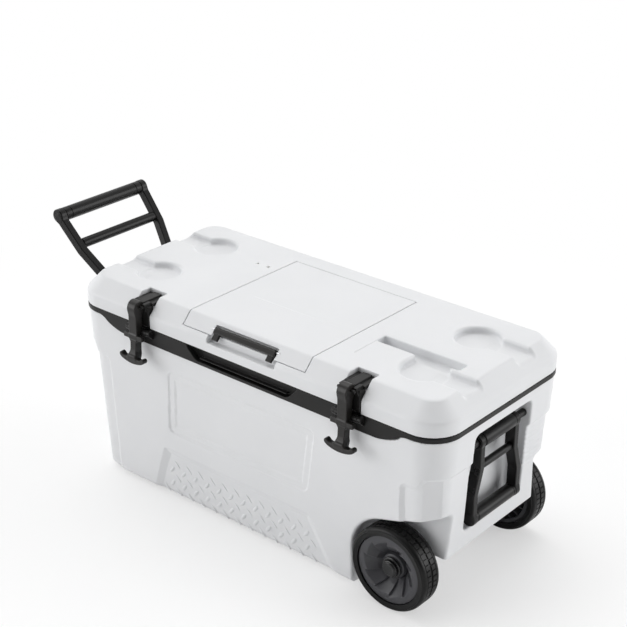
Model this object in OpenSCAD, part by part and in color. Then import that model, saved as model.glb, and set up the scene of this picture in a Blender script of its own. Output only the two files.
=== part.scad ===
// Wheeled insulated cooler: drafted tub, hinged lid with a small hatch, two T latches,
// a tow handle, two carry handles and a pair of wheels on one axle.
// Millimetres. X runs along the cooler with the wheels at +X, the latches face -Y,
// and the floor is z = 0 under the middle of the tub.

/* [Tub] */
// Length over the rim
body_l = 860; // [700:5:1040]
// Width over the rim
body_w = 384; // [320:2:462]
// Height of the rim's top face above the floor
rim_z = 363; // [330:1:436]
// Corner radius of the rim and the lid
corner_r = 59; // [50:1:70]
// Draft of the walls, in degrees
draft = 2.6; // [1.5:0.1:3.2]
// Wall from rim edge to opening, at the ends
wall_end = 58; // [56:1:69]
// Wall from rim edge to opening, at the front and back
wall_side = 47; // [42:1:56]
// Thickness of the moulded skins
skin = 4; // [3.4:0.1:4.8]
// Height of the tub's underside above the floor
base_z = 3; // [2.5:0.1:3.6]
// Depth of the step round the lower ends
step_in = 5; // [3:0.5:6]
// Height of that step
step_z = 282; // [250:1:300]
// Thickness of the insulated floor
floor_t = 38; // [32:1:45]

/* [Rim] */
// Thickness of the dark rim
rim_t = 10; // [8:0.5:12]
// Overhang of the rim past the tub's wall
rim_over = 2; // [1.5:0.1:3]
// Depth of the apron below the rim's top, along the front
apron_d = 32; // [28:0.5:38]
// Ends of the apron's lower edge, in from the rim's ends
apron_in = 108; // [100:1:125]
// Thickness of the apron
apron_t = 6; // [5:0.5:7]
// Half width of the finger recess in the apron
grip_half = 132; // [100:1:150]

/* [Lid] */
// Height of the lid above the rim
lid_h = 54; // [50:0.5:62]
// Height of the lid's upright lower band
lid_band = 25; // [20:0.5:28]
// How far the lid's bevel runs inward
lid_bevel = 28; // [24:0.5:34]
// Gap between lid and rim
lid_gap = 1; // [0.8:0.1:1.4]
// Depth of the lid's inner plug in the opening
plug_d = 10; // [8:0.5:12]
// Clearance of the plug all round
plug_gap = 4; // [3.5:0.1:5]
// Cup recess radius
cup_r = 42; // [36:0.5:46]
// Cup recess depth
cup_d = 13; // [10:0.5:15]
// Cup centre, in from the lid's end
cup_end = 116; // [112:1:128]
// Cup centre, in from the lid's front or back
cup_side = 114; // [110:1:118]
// Largest angle the lid opens
lid_open = 100; // [90:1:104]

/* [Hatch] */
// Half length of the hatch
hatch_half = 144; // [130:1:150]
// Back edge of the hatch, in from the lid's back
hatch_back_in = 68; // [64:1:74]
// Half length of the opening under the hatch
port_half = 114; // [100:1:118]
// Front edge of that opening, in from the lid's front
port_front_in = 74; // [71:1:84]
// Back edge of that opening, in from the lid's back
port_back_in = 102; // [98:1:112]
// Height of the ledge that the hatch lies on, below the lid's top
ledge_d = 23; // [21:0.5:25]
// Depth of the hatch's plug below its plate
hatch_plug_d = 20; // [16:0.5:22]

/* [Latches] */
// Latch centre, in from the lid's end
latch_in = 182; // [172:1:198]
// Width of the latch recess in the lid
latch_slot = 45; // [42:0.5:50]
// Width of the latch arm
arm_w = 18; // [15:0.5:19]
// Thickness of the latch arm
arm_t = 12; // [10:0.5:13]
// Length of the latch arm below its pin
arm_len = 112; // [104:1:118]
// Radius of the keeper pegs
peg_r = 6; // [5:0.1:6.5]

/* [Wheels] */
// Wheel radius
wheel_r = 80; // [66:1:84]
// Tyre width
tyre_w = 46; // [40:1:50]
// Wheel centre, in from the rim's end
wheel_in = 99; // [95:1:105]
// Outer face of the tyre, in from the rim's side
tyre_in = 2.5; // [0:0.5:10]
// Axle radius
axle_r = 6; // [5:0.1:7]
// Clearance between tyre and wheel arch
arch_gap = 15; // [12:0.5:18]

/* [Handles] */
// Pivots of both left handles, below the rim's top
pivot_drop = 51; // [49:1:57]
// Pivot of the right carry handle, below the rim's top
carry_drop = 59; // [57:1:62]
// Handle rod radius
rod_r = 4; // [3.5:0.1:4.5]
// Pivot of the right carry handle, in from the rim edge
pivot_in_right = 19; // [18:0.5:21]
// Pivot of the left handles, in from the rim edge
pivot_in_left = 18; // [17:0.5:20]
// Tow handle, pivot to grip
tow_len = 220; // [180:1:228]
// Right carry handle, pivot to grip
carry_len = 146; // [130:1:148]
// Nested carry handle, pivot to grip
nest_len = 124; // [104:1:126]
// Angle of the raised tow handle from hanging
tow_raised = 138.5; // [120:0.5:140]

/* [Hidden] */
$fn = 48;

eps = 0.01;
thin = 0.3;            // height of the slabs that a hull is drawn over
far = 600;
arc_n = 8;             // segments in a quarter turn of a rounded corner
body_gap = 0.3;        // clearance between pieces that only touch
run_gap = 0.05;        // radial clearance of a pin in its bore
foam_gap = 0.3;        // clearance between foam and skins
slope = tan(draft);

rim_bottom = rim_z - rim_t;
lid_z = rim_z + lid_gap;
lid_top = rim_z + 1 + lid_h;
crease_z = lid_z + lid_band;
bevel_h = lid_top - crease_z;
bevel_angle = atan2(bevel_h, lid_bevel);
top_y = body_w/2 - lid_bevel;
apron_half = body_l/2 - apron_in;
cup_x = body_l/2 - cup_end;
cup_y = body_w/2 - cup_side;
hatch_back = body_w/2 - hatch_back_in;
port_front = body_w/2 - port_front_in;
port_back = body_w/2 - port_back_in;
latch_x = body_l/2 - latch_in;

open_l = body_l - 2*wall_end;
open_w = body_w - 2*wall_side;
open_r = 28;
liner_t = 3;

wheel_x = body_l/2 - wheel_in;
track_half = body_w/2 - tyre_in;
arch_r = wheel_r + arch_gap;
arch_in = track_half - tyre_w - 7.5;
arch_tilt = 12;
arch_rise = 15;
tunnel_z = wheel_r + 32;
tunnel_x = wheel_x - arch_r + 14;
well_x = wheel_x - arch_r;

pocket_top = rim_bottom - 20;
pocket_x = body_l/2 - wall_end + liner_t + 12;

hinge_x = body_l/2 - 175;
hinge_w = 86;
hinge_y = body_w/2 + 6;
hinge_z = rim_z;
knuckle_r = 6;
hinge_pin_r = 2.5;

ledge_z = lid_top - ledge_d;
hatch_gap = 0.8;
hatch_z = ledge_z + 1;
hatch_pin_r = 2;
hatch_pin_y = hatch_back - 5.5;
hatch_pin_z = lid_top - 6;

latch_pin_y = -(body_w/2 + 10);
latch_pin_z = lid_top - 10;
latch_pin_r = 2.5;
arm_y = latch_pin_y - 6;
peg_y = -(body_w/2 + 6.5);
peg_z = rim_z - 6;

// ---------- outlines ----------

function arc_pts(c, r, a0, a1, n) = [for (i = [0:n]) c + r*[cos(a0 + (a1 - a0)*i/n), sin(a0 + (a1 - a0)*i/n)]];

// Rounded rectangle, centred
function rrect(l, w, r, n = arc_n) = concat(
  arc_pts([l/2 - r, w/2 - r], r, 0, 90, n), arc_pts([-l/2 + r, w/2 - r], r, 90, 180, n),
  arc_pts([-l/2 + r, -w/2 + r], r, 180, 270, n), arc_pts([l/2 - r, -w/2 + r], r, 270, 360, n));

function unit(v) = v/norm(v);

// Rounds every corner of a polygon; pts are [x, y, radius]
function corner_arc(p, q, s, n) = let(
    a = [p[0], p[1]], b = [q[0], q[1]], c = [s[0], s[1]], r = q[2],
    u = unit(a - b), v = unit(c - b), half = acos(u*v)/2,
    m = b + unit(u + v)*r/sin(half), t0 = b + u*r/tan(half) - m, t1 = b + v*r/tan(half) - m,
    a0 = atan2(t0[1], t0[0]), d = atan2(t1[1], t1[0]) - a0,
    sweep = d > 180 ? d - 360 : d < -180 ? d + 360 : d)
  r == 0 ? [b] : arc_pts(m, r, a0, a0 + sweep, n);
function rounded(pts, n = 6) = [for (i = [0:len(pts) - 1])
  each corner_arc(pts[(i + len(pts) - 1) % len(pts)], pts[i], pts[(i + 1) % len(pts)], n)];

module slab(l, w, r, z, h = thin) { translate([0, 0, z]) linear_extrude(h) polygon(rrect(l, w, r)); }

// Extrudes an outline drawn in X and Z, from y0 to y1
module along_y(y0, y1) { translate([0, y1, 0]) rotate([90, 0, 0]) linear_extrude(y1 - y0) children(); }

// Extrudes an outline drawn in Y and Z, from x0 to x1
module along_x(x0, x1) { translate([x0, 0, 0]) rotate([90, 0, 90]) linear_extrude(x1 - x0) children(); }

// Places a drawing on the drafted front wall: Y = 0 is its surface, and Z stays the height
module on_front() {
  translate([0, -(body_w/2 - rim_over), rim_bottom]) rotate([draft, 0, 0]) translate([0, 0, -rim_bottom]) children();
}

module rod_x(r, x0, x1) { translate([x0, 0, 0]) rotate([0, 90, 0]) cylinder(r = r, h = x1 - x0); }
module rod_y(r, y0, y1) { translate([0, y1, 0]) rotate([90, 0, 0]) cylinder(r = r, h = y1 - y0); }
module box(lo, hi) { translate(lo) cube(hi - lo); }
module both_x() { children(); mirror([1, 0, 0]) children(); }
module both_y() { children(); mirror([0, 1, 0]) children(); }

// ---------- tub ----------

function wall_in(z) = rim_over + (rim_bottom - z)*slope;

// The drafted outer form of the tub, moved in by g
module tub_form(g, z0, z1) {
  hull() {
    for (e = [[z0, 13], [z0 + 4, 5.5], [z0 + 13, 0]])
      slab(body_l - 2*(wall_in(e[0]) + g + e[1]), body_w - 2*(wall_in(e[0]) + g + e[1]),
           max(corner_r - wall_in(e[0]) - g - e[1], 12), e[0]);
    slab(body_l - 2*(wall_in(z1) + g), body_w - 2*(wall_in(z1) + g), corner_r - rim_over - g, z1 - thin);
  }
}

// Room for a wheel: an arch with a roof that rises to the end and outward; g makes it larger
module wheel_room(g) {
  translate([0, -arch_in + g, wheel_r]) rotate([-arch_tilt, 0, 0]) translate([0, 0, -wheel_r])
    along_y(-90, 0) polygon(concat([[well_x - g, -80]],
      arc_pts([wheel_x, wheel_r], arch_r + g, 180, 90 + arch_rise, 10),
      [[body_l/2 + 40, wheel_r + arch_r*sin(90 + arch_rise) + g
        + (body_l/2 + 40 - wheel_x - arch_r*cos(90 + arch_rise))*tan(arch_rise)],
       [body_l/2 + 40, -80]]));
}

// Everything cut from the tub at the wheel end
module wheel_rooms(g) {
  both_y() wheel_room(g);
  box([tunnel_x - g, -body_w, -far], [body_l, body_w, tunnel_z + g]);
}

// Outline of a handle pocket in Y and Z
function pocket_outline(top, bottom, z0, g) = rounded([
  [-top - g, pocket_top + g, 12], [top + g, pocket_top + g, 12],
  [bottom + g, z0 - g, 14], [-bottom - g, z0 - g, 14]]);

right_top = body_w/2 - 108;
right_bottom = body_w/2 - 106;
right_low = pivot_z(1) - carry_len - 16;
left_top = body_w/2 - 98;
left_bottom = body_w/2 - 64;
notch_in = left_top - 36;
notch_out = left_top - 4;
left_low = pivot_z(-1) - tow_len - 24;

module pockets(g) {
  along_x(pocket_x - g, body_l) polygon(pocket_outline(right_top, right_bottom, right_low, g));
  mirror([1, 0, 0]) {
    along_x(pocket_x - g, body_l) polygon(pocket_outline(left_top, left_bottom, left_low, g));
    both_y() box([body_l/2 - 26, notch_in - g, pocket_top - 20], [body_l, notch_out + g, rim_bottom - 7 + g]);
  }
}

// Finger recess under the lid's front edge, open at the top
recess_d = 13;
module finger_recess(g, deep) {
  along_y(-body_w, -(body_w/2 - deep) + g) polygon([[-grip_half - g, far], [-grip_half - g, rim_z - 3],
    [-grip_half + 24 - g, rim_z - apron_d + 6 - g], [grip_half - 24 + g, rim_z - apron_d + 6 - g],
    [grip_half + g, rim_z - 3], [grip_half + g, far]]);
}

// Front of the apron: full depth in the middle, thin at the corners
module apron_outline(g) {
  polygon(rounded([[-apron_half - 38, rim_bottom + 2, 0], [-apron_half - 38 - g, rim_bottom - g, 8],
    [-apron_half - g, rim_z - apron_d - g, 16], [apron_half + g, rim_z - apron_d - g, 16],
    [apron_half + 38 + g, rim_bottom - g, 8], [apron_half + 38, rim_bottom + 2, 0]], 5));
}

pad_left = -body_l/2 + 40;
pad_len = well_x - 14 - pad_left;
pad_mid = pad_left + pad_len/2;

panel_left = -body_l/2 + 242;
panel_right = body_l/2 - 262;
panel_top = rim_bottom - 63;
panel_low = 153;
panel = [[panel_left, panel_top], [panel_right, panel_top], [panel_right - 20, panel_low], [panel_left - 10, panel_low]];
tread_left = -body_l/2 + 216;
tread_right = body_l/2 - 293;
tread_top = 113;
tread = [[tread_left, tread_top], [tread_right, tread_top], [tread_right + 61, -40], [tread_left - 74, -40]];
panel_d = 3.5;

module tub_cuts(g) {
  wheel_rooms(g);
  pockets(g);
  along_y(-body_w, -(body_w/2 - apron_t) + g) apron_outline(body_gap + g);
  finger_recess(liner_t + body_gap + g, recess_d);
}

// The lower ends and their corners stand back behind a step
module step_zone() {
  both_x() along_y(-body_w, body_w) polygon(rounded([
    [body_l/2 - 80, -20, 0], [body_l/2 - 80, step_z - 18, 18], [body_l/2 - 48, step_z - 18, 14],
    [body_l/2 - 34, step_z, 10], [body_l, step_z, 0], [body_l, -20, 0]]));
}

drain_r = 14;
drain_x = -(body_l/2 - 130);
drain_z = base_z + floor_t + drain_r + 7;

module tub_shell() {
  color("whitesmoke") difference() {
    union() {
      difference() {
        tub_form(0, base_z, rim_bottom);
        step_zone();
      }
      tub_form(step_in, base_z, rim_bottom);
      translate([pad_mid, 0, 0]) slab(pad_len, body_w - 100, 36, 0, base_z + skin);
    }
    tub_cuts(0);
    difference() {
      tub_form(skin + step_in, base_z + skin, rim_bottom + 1);
      tub_cuts(skin);
    }
    on_front() along_y(-far, panel_d) polygon(rounded([for (p = panel) [p[0], p[1], 14]]));
    on_front() along_y(-far, panel_d) polygon(rounded([for (p = tread) [p[0], p[1], 10]]));
    for (e = [-1, 1]) translate([e*pivot_x(e), 0, pivot_z(e)]) rod_y(rod_r + run_gap, -110, 110);
    translate([drain_x, 0, drain_z]) rod_y(drain_r + run_gap, body_w/4, body_w);
  }
}

// Distance of the front wall from the middle at height z
function wall_front(z) = body_w/2 - wall_in(z);
function pivot_x(e) = body_l/2 - (e > 0 ? pivot_in_right : pivot_in_left);
function pivot_z(e) = rim_z - (e > 0 ? carry_drop : pivot_drop);

// The tub's inner volume, grown by g
floor_z = base_z + floor_t;
hump_in = arch_in - 30;
hump_z = wheel_r + arch_r*sin(90 + arch_rise) + (open_l/2 - wheel_x - arch_r*cos(90 + arch_rise))*tan(arch_rise) + skin + 13;
module inner_form(g) {
  difference() {
    hull() {
      slab(open_l + 2*g - 2*(rim_z - floor_z)*slope, open_w + 2*g - 2*(rim_z - floor_z)*slope,
           open_r + g - 6, floor_z - g);
      slab(open_l + 2*g, open_w + 2*g, open_r + g, rim_z + 1);
    }
    box([tunnel_x - 30 + g, -far, -far], [far, far, tunnel_z + 30 - g]);
    both_y() box([well_x - 30 + g, hump_in + g, -far], [far, far, hump_z - g]);
  }
}

// Inner box, cut off flush with the rim's top
module tub_liner() {
  color("#262627") difference() {
    inner_form(liner_t);
    inner_form(0);
    translate([0, 0, rim_z]) linear_extrude(far) square(far*2, center = true);
    translate([drain_x, 0, drain_z]) rod_y(drain_r + run_gap, body_w/4, body_w);
  }
}

// Dark rim round the inner box, with the apron and its finger recess along the front
module rim_trim() {
  color("#262627") difference() {
    union() {
      slab(body_l, body_w, corner_r, rim_bottom, rim_t);
      along_y(-body_w/2, -(body_w/2 - apron_t)) apron_outline(0);
      intersection() {
        finger_recess(liner_t, recess_d);
        box([-far, -body_w/2, 0], [far, 0, rim_z]);
      }
    }
    inner_form(liner_t + body_gap);
    finger_recess(0, recess_d);
  }
}

module tub_insulation() {
  color("#f0e6b8") difference() {
    tub_form(skin + step_in + foam_gap, base_z + skin + foam_gap, rim_bottom - foam_gap);
    tub_cuts(skin + foam_gap);
    inner_form(liner_t + foam_gap);
    for (e = [-1, 1]) translate([e*pivot_x(e), 0, pivot_z(e)]) rod_y(rod_r + 1, -110, 110);
    translate([drain_x, 0, drain_z]) rod_y(drain_r + 1, body_w/2 - 70, body_w);
  }
}

// Two stub pegs on ears, which the latch passes between
module keeper(e) {
  color("#2b2b2c") translate([e*latch_x, 0, 0]) both_x() {
    translate([0, peg_y, peg_z]) rod_x(peg_r, arm_w/2 + 1.5, 31);
    along_x(26, 31) polygon([[-body_w/2 - eps, peg_z + 6], [peg_y, peg_z + 6],
      [peg_y, peg_z - 6], [-body_w/2 - eps, peg_z - 14]]);
  }
}
module keeper_left() { keeper(-1); }
module keeper_right() { keeper(1); }

// ---------- lid hinges ----------

// Knuckles alternate: outer three on the tub, inner two on the lid
knuckle = hinge_w/5;
module knuckles(e, which) {
  translate([e*hinge_x, hinge_y, hinge_z]) for (i = which)
    rod_x(knuckle_r, -hinge_w/2 + i*knuckle + 0.2, -hinge_w/2 + (i + 1)*knuckle - 0.2);
}
module hinge_bore(e) {
  translate([e*hinge_x, hinge_y, hinge_z]) rod_x(hinge_pin_r + run_gap, -hinge_w, hinge_w);
}
module knuckle_clear(e, which) {
  translate([e*hinge_x, hinge_y, hinge_z]) for (i = which)
    rod_x(knuckle_r + 0.5, -hinge_w/2 + i*knuckle - 0.2, -hinge_w/2 + (i + 1)*knuckle + 0.2);
}
module tub_hinge(e) {
  color("#262627") difference() {
    union() {
      knuckles(e, [0, 2, 4]);
      translate([e*hinge_x, 0, 0]) box([-hinge_w/2, body_w/2, rim_z - apron_d],
                                      [hinge_w/2, hinge_y, hinge_z - 1]);
    }
    knuckle_clear(e, [1, 3]);
    hinge_bore(e);
  }
}
module lid_hinge(e) {
  color("#262627") difference() {
    union() {
      knuckles(e, [1, 3]);
      translate([e*hinge_x, 0, 0]) box([-hinge_w/2, body_w/2 + body_gap, hinge_z + 1],
                                      [hinge_w/2, hinge_y, lid_z + lid_band]);
    }
    knuckle_clear(e, [0, 2, 4]);
    hinge_bore(e);
  }
}
module tub_hinge_left() { tub_hinge(-1); }
module tub_hinge_right() { tub_hinge(1); }
module lid_hinge_left() { lid_hinge(-1); }
module lid_hinge_right() { lid_hinge(1); }
module hinge_pins() {
  color("silver") both_x() translate([hinge_x, hinge_y, hinge_z]) rod_x(hinge_pin_r, -hinge_w/2, hinge_w/2);
}

// ---------- wheels ----------

hub_in = arch_in + 3;
hub_out = track_half - 14;
axle_half = hub_out + 5;
bracket_in = 112;
bracket_out = arch_in - 4;
rim_r = wheel_r - 15;

module axle() {
  color("silver") translate([wheel_x, 0, wheel_r]) rod_y(axle_r, -axle_half, axle_half);
}
module axle_bracket(e) {
  color("#262627") translate([wheel_x, 0, 0]) difference() {
    along_y(min(e*bracket_in, e*bracket_out), max(e*bracket_in, e*bracket_out))
      polygon(rounded([[-34, tunnel_z, 0], [-14, wheel_r - 15, 10], [14, wheel_r - 15, 10], [34, tunnel_z, 0]]));
    translate([0, 0, wheel_r]) rod_y(axle_r, -far/2, far/2);
  }
}
module axle_bracket_front() { axle_bracket(-1); }
module axle_bracket_back() { axle_bracket(1); }

// Revolves a profile drawn as [radius, distance outward] about the wheel's axis
module turned(e, pts) {
  translate([wheel_x, 0, wheel_r]) rotate([e*-90, 0, 0]) rotate_extrude($fn = 96) polygon(pts);
}
module tyre(e) {
  color("#1c1c1d") turned(e, rounded([[rim_r + run_gap, track_half - 2, 0], [rim_r + 2, track_half, 0],
    [wheel_r - 5, track_half, 4], [wheel_r, track_half - 9, 8], [wheel_r, track_half - tyre_w + 9, 8],
    [wheel_r - 5, track_half - tyre_w, 4], [rim_r + 2, track_half - tyre_w, 0],
    [rim_r + run_gap, track_half - tyre_w + 2, 0]]));
}
hub_r = 20;
module wheel_rim(e) {
  web = track_half - 30;
  color("#58585c") turned(e, [[axle_r + run_gap, hub_in], [hub_r, hub_in], [hub_r, web - 4],
    [rim_r - 8, track_half - 16], [rim_r - 8, track_half - tyre_w + 3], [rim_r, track_half - tyre_w + 3],
    [rim_r, track_half - 3], [rim_r - 11, track_half - 3], [rim_r - 14, track_half - 8],
    [hub_r + 4, web + 3], [hub_r, web + 10], [hub_r, hub_out], [axle_r + run_gap, hub_out]]);
}
module hub_cap(e) {
  color("#161617") turned(e, [[0, hub_out + 10], [13, hub_out + 10], [16, hub_out + 8], [16, hub_out + 3],
    [hub_r, hub_out + 3], [hub_r, hub_out], [11, hub_out], [11, hub_out + 8], [0, hub_out + 8]]);
}
module push_nuts() {
  color("silver") for (e = [-1, 1])
    turned(e, [[axle_r, hub_out + 1], [10, hub_out + 1], [10, hub_out + 3], [axle_r, hub_out + 4]]);
}
module tyre_front() { tyre(-1); }
module tyre_back() { tyre(1); }
module wheel_rim_front() { wheel_rim(-1); }
module wheel_rim_back() { wheel_rim(1); }
module hub_cap_front() { hub_cap(-1); }
module hub_cap_back() { hub_cap(1); }

// ---------- drain ----------

drain_face = wall_front(drain_z);
module drain_fitting() {
  color("#262627") translate([drain_x, 0, drain_z]) difference() {
    union() {
      rod_y(drain_r, drain_in - 3, drain_face + 4);
      rod_y(drain_r + 7, drain_face + 1.3, drain_face + 5);
      rod_y(drain_r + 4, drain_in - 4, drain_in - 1.2);
    }
    rod_y(drain_r - 4, 0, body_w);
  }
}
drain_in = open_w/2 - (rim_z - drain_z)*slope;
module drain_plug() {
  color("#262627") translate([drain_x, 0, drain_z]) {
    rod_y(drain_r - 4 - run_gap, drain_face - 24, drain_face + 6);
    rod_y(drain_r + 4, drain_face + 5 + body_gap, drain_face + 14);
    box([-3.5, drain_face + 13, -15], [3.5, drain_face + 21, 15]);
  }
}

// ---------- lid ----------

module lid_form(g, z0) {
  hull() {
    slab(body_l - 2*g, body_w - 2*g, corner_r - g, z0, crease_z - g/2 - z0);
    slab(body_l - 2*lid_bevel - 2*g, body_w - 2*lid_bevel - 2*g, corner_r - lid_bevel - g/2, lid_top - g - thin);
  }
}

slot_x0 = cup_x - 127;
slot_x1 = cup_x + 47;
slot_y0 = -cup_y + 32;
slot_y1 = -cup_y + 57;
slot_d = 16;
groove_half = 23;

// Cups, grooves and the long slot on the lid's top, grown by g
module lid_recesses(g) {
  for (sx = [-1, 1], sy = [-1, 1]) translate([sx*cup_x, sy*cup_y, lid_top - cup_d - g])
    cylinder(r = cup_r + g, h = far);
  for (sx = [-1, 1], sy = [-1, 1]) scale([sx, sy, 1])
    box([cup_x + 20, cup_y - groove_half - g, lid_top - cup_d + 1 - g], [body_l/2 + 10, cup_y + groove_half + g, far]);
  box([slot_x0 - g, slot_y0 - g, lid_top - slot_d - g], [slot_x1 + g, slot_y1 + g, far]);
  box([cup_x - cup_r - g, -cup_y, lid_top - cup_d - g], [cup_x, slot_y0 + 1, far]);
}

latch_back = -(body_w/2 - 49);
module latch_rooms(g) {
  for (e = [-1, 1]) translate([e*latch_x, 0, 0]) {
    box([-latch_slot/2 - g, -body_w, lid_top - 14 - g], [latch_slot/2 + g, latch_back + g, far]);
    box([-latch_slot/2 - g, -body_w, lid_z - 2], [latch_slot/2 + g, -(body_w/2 - 13) + g, far]);
  }
}

finger_half = 80;
finger_d = 13.5;        // depth of the fingertip recess below the ledge
module hatch_room(g) {
  box([-hatch_half - hatch_gap - g, -body_w, ledge_z - g], [hatch_half + hatch_gap + g, hatch_back + 1.2 + g, far]);
  along_y(-body_w, -(body_w/2 - 14) + g) polygon([[-finger_half - g, far], [-finger_half - g, ledge_z - finger_d - g],
    [finger_half + g, ledge_z - finger_d - g], [finger_half + g, far]]);
  translate([0, hatch_pin_y, hatch_pin_z]) rod_x(6.9 + g, -hatch_half - hatch_gap - g, hatch_half + hatch_gap + g);
}

port_l = 2*port_half;
port_w = port_front + port_back;
port_y = (port_back - port_front)/2;
module port(g, z0, z1) {
  translate([0, port_y, 0]) slab(port_l + 2*g, port_w + 2*g, 32 + g, z0, z1 - z0);
}

lid_cover = 3.4;
module lid_cuts(g) {
  lid_recesses(g);
  latch_rooms(g);
  hatch_room(g);
  port(g, lid_z - 20, lid_top);
}
module lid_shell() {
  color("whitesmoke") difference() {
    lid_form(0, lid_z);
    lid_cuts(0);
    difference() {
      lid_form(lid_cover, lid_z - 1);
      lid_cuts(lid_cover);
    }
    for (x = [51, 24]) translate([-hatch_half - x, hatch_back - 54, lid_top - 2]) cylinder(r = 2.5, h = 5);
    hatch_pin_bores(run_gap);
  }
}
module hatch_pin_bores(g) {
  both_x() translate([0, hatch_pin_y, hatch_pin_z]) rod_x(hatch_pin_r + g, hatch_half - 12, hatch_half + 8);
}
module lid_insulation() {
  color("#f0e6b8") difference() {
    union() {
      lid_form(lid_cover + foam_gap, lid_z + liner_t + foam_gap);
      slab(plug_l - 2*(liner_t + foam_gap), plug_w - 2*(liner_t + foam_gap), 20, plug_z + liner_t + foam_gap, plug_d + 4);
    }
    lid_cuts(lid_cover + foam_gap);
    pack_rooms(liner_t + foam_gap);
    hatch_pin_bores(1);
  }
}

pack_x = body_l/2 - 198;
pack_w = 168;
pack_t = 28;
plug_l = open_l - 2*plug_gap;
plug_w = open_w - 2*plug_gap;
pack_l = plug_w - 57;
plug_z = lid_z - plug_d - lid_gap;
pack_rise = 6;

module pack_rooms(g) {
  both_x() translate([pack_x, 0, 0])
    slab(pack_w + 6 + 2*g, pack_l + 16 + 2*g, 12, plug_z - 10, 10 + pack_rise + g);
}
module lid_liner() {
  cover_gap = lid_cover + body_gap;
  color("whitesmoke") difference() {
    union() {
      slab(body_l - 2*cover_gap, body_w - 2*cover_gap, corner_r - cover_gap, lid_z, liner_t);
      slab(plug_l, plug_w, 24, plug_z, plug_d + lid_gap + 1);
    }
    difference() {
      slab(plug_l - 2*liner_t, plug_w - 2*liner_t, 21, plug_z + liner_t, far);
      pack_rooms(liner_t);
    }
    port(lid_cover + body_gap, plug_z - 5, lid_top);
    latch_rooms(lid_cover + body_gap);
    pack_rooms(0);
    translate([0, 0, lid_z]) difference() {
      slab(plug_l + 32, plug_w + 32, 40, -1, 1 + gasket_deep);
      slab(plug_l + 18, plug_w + 18, 33, -2, 4 + gasket_deep);
    }
  }
}
gasket_deep = 2;
module lid_gasket() {
  color("#3a3a3b") difference() {
    slab(plug_l + 31, plug_w + 31, 39.5, rim_z + body_gap, lid_gap - body_gap + gasket_deep - 0.1);
    slab(plug_l + 19, plug_w + 19, 33.5, rim_z - 1, 6);
  }
}

// ---------- ice packs ----------

module ice_pack(e) {
  z0 = plug_z + pack_rise - body_gap - pack_t;
  color("#8fc7ea") translate([e*pack_x, 0, 0]) {
    slab(pack_w - 8, pack_l - 8, 18, z0, 4);
    slab(pack_w, pack_l, 22, z0 + 4, pack_t - 8);
    slab(pack_w - 8, pack_l - 8, 18, z0 + pack_t - 4, 4);
  }
}
module ice_pack_left() { ice_pack(-1); }
module ice_pack_right() { ice_pack(1); }
module pack_clip(e) {
  y0 = -pack_l/2;
  z0 = plug_z + pack_rise - body_gap - pack_t;
  color("#262627") translate([e*pack_x, 0, 0]) {
    box([-16, y0 - 5, z0 - 4], [16, y0 - body_gap, plug_z + pack_rise]);
    box([-16, y0 - 5, z0 - 4], [16, y0 + 22, z0 - body_gap]);
  }
}
module pack_clip_left() { pack_clip(-1); }
module pack_clip_right() { pack_clip(1); }

// ---------- hatch ----------

// Side outline of the hatch in Y and Z: flat top, front edge following the lid's bevel
function hatch_side(g) = let(
    y_edge = -(body_w/2 - (hatch_z - crease_z)*lid_bevel/bevel_h))
  rounded([[hatch_back - g, hatch_z, g > 0 ? 0 : 2], [hatch_back - g, lid_top - g, max(4.5 - g, 0.5)],
    [-top_y + g/2, lid_top - g, 3], [y_edge + g*1.4, hatch_z, 0]]);

module hatch_form(g) {
  along_x(-hatch_half + g, hatch_half - g) polygon(hatch_side(g));
}

// Room for the latch bar in the hatch's front slope
bar_half = 72;
bar_t = 8;
bar_h = 22;
module on_slope() { translate([0, -top_y, lid_top]) rotate([bevel_angle, 0, 0]) children(); }
module bar_room(g) {
  on_slope() box([-bar_half - 6 - g, -60, -7 - g], [bar_half + 6 + g, -9 + g, 30]);
}
module hatch_shell() {
  color("whitesmoke") difference() {
    hatch_form(0);
    difference() {
      hatch_form(lid_cover);
      bar_room(lid_cover);
    }
    box([-hatch_half + lid_cover, -top_y + 8, hatch_z - 1], [hatch_half - lid_cover, hatch_back - lid_cover, hatch_z + 6]);
    bar_room(0);
    hatch_pin_bores(0);
    bar_pin_bore(0);
  }
}

hatch_plug_l = port_l - 10;
hatch_plug_w = port_w - 14;
module hatch_plug(g, z0, z1) {
  translate([0, port_y, 0]) slab(hatch_plug_l - 2*g, hatch_plug_w - 2*g, 28 - g, z0, z1 - z0);
}
module hatch_liner() {
  color("whitesmoke") difference() {
    union() {
      box([-hatch_half + lid_cover + body_gap, -top_y + 8 + body_gap, hatch_z + 0.5],
          [hatch_half - lid_cover - body_gap, hatch_back - lid_cover - body_gap, hatch_z + 4]);
      hatch_plug(0, hatch_z - hatch_plug_d, hatch_z + 1);
    }
    hatch_plug(3, hatch_z - hatch_plug_d + 3, hatch_z + 10);
    hatch_gasket_form(0.1, 2.4);
  }
}
module hatch_gasket_form(g, deep) {
  difference() {
    port(11 + g, ledge_z + body_gap, hatch_z + deep);
    port(4 - g, ledge_z - 5, hatch_z + 10);
  }
}
module hatch_gasket() { color("#1d1d1e") hatch_gasket_form(0, 2.3); }
module hatch_insulation() {
  g = lid_cover + foam_gap;
  color("#f0e6b8") union() {
    difference() {
      hatch_form(g);
      bar_room(g);
      translate([0, 0, hatch_z - 1]) linear_extrude(6) square(far, center = true);
      hatch_pin_bores(1);
      bar_pin_bore(0.5);
    }
    hatch_plug(3 + foam_gap, hatch_z - hatch_plug_d + 3 + foam_gap, hatch_z + 5);
  }
}
module hatch_pins() {
  color("silver") both_x() translate([0, hatch_pin_y, hatch_pin_z])
    rod_x(hatch_pin_r, hatch_half - lid_cover, hatch_half + 5);
}

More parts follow.
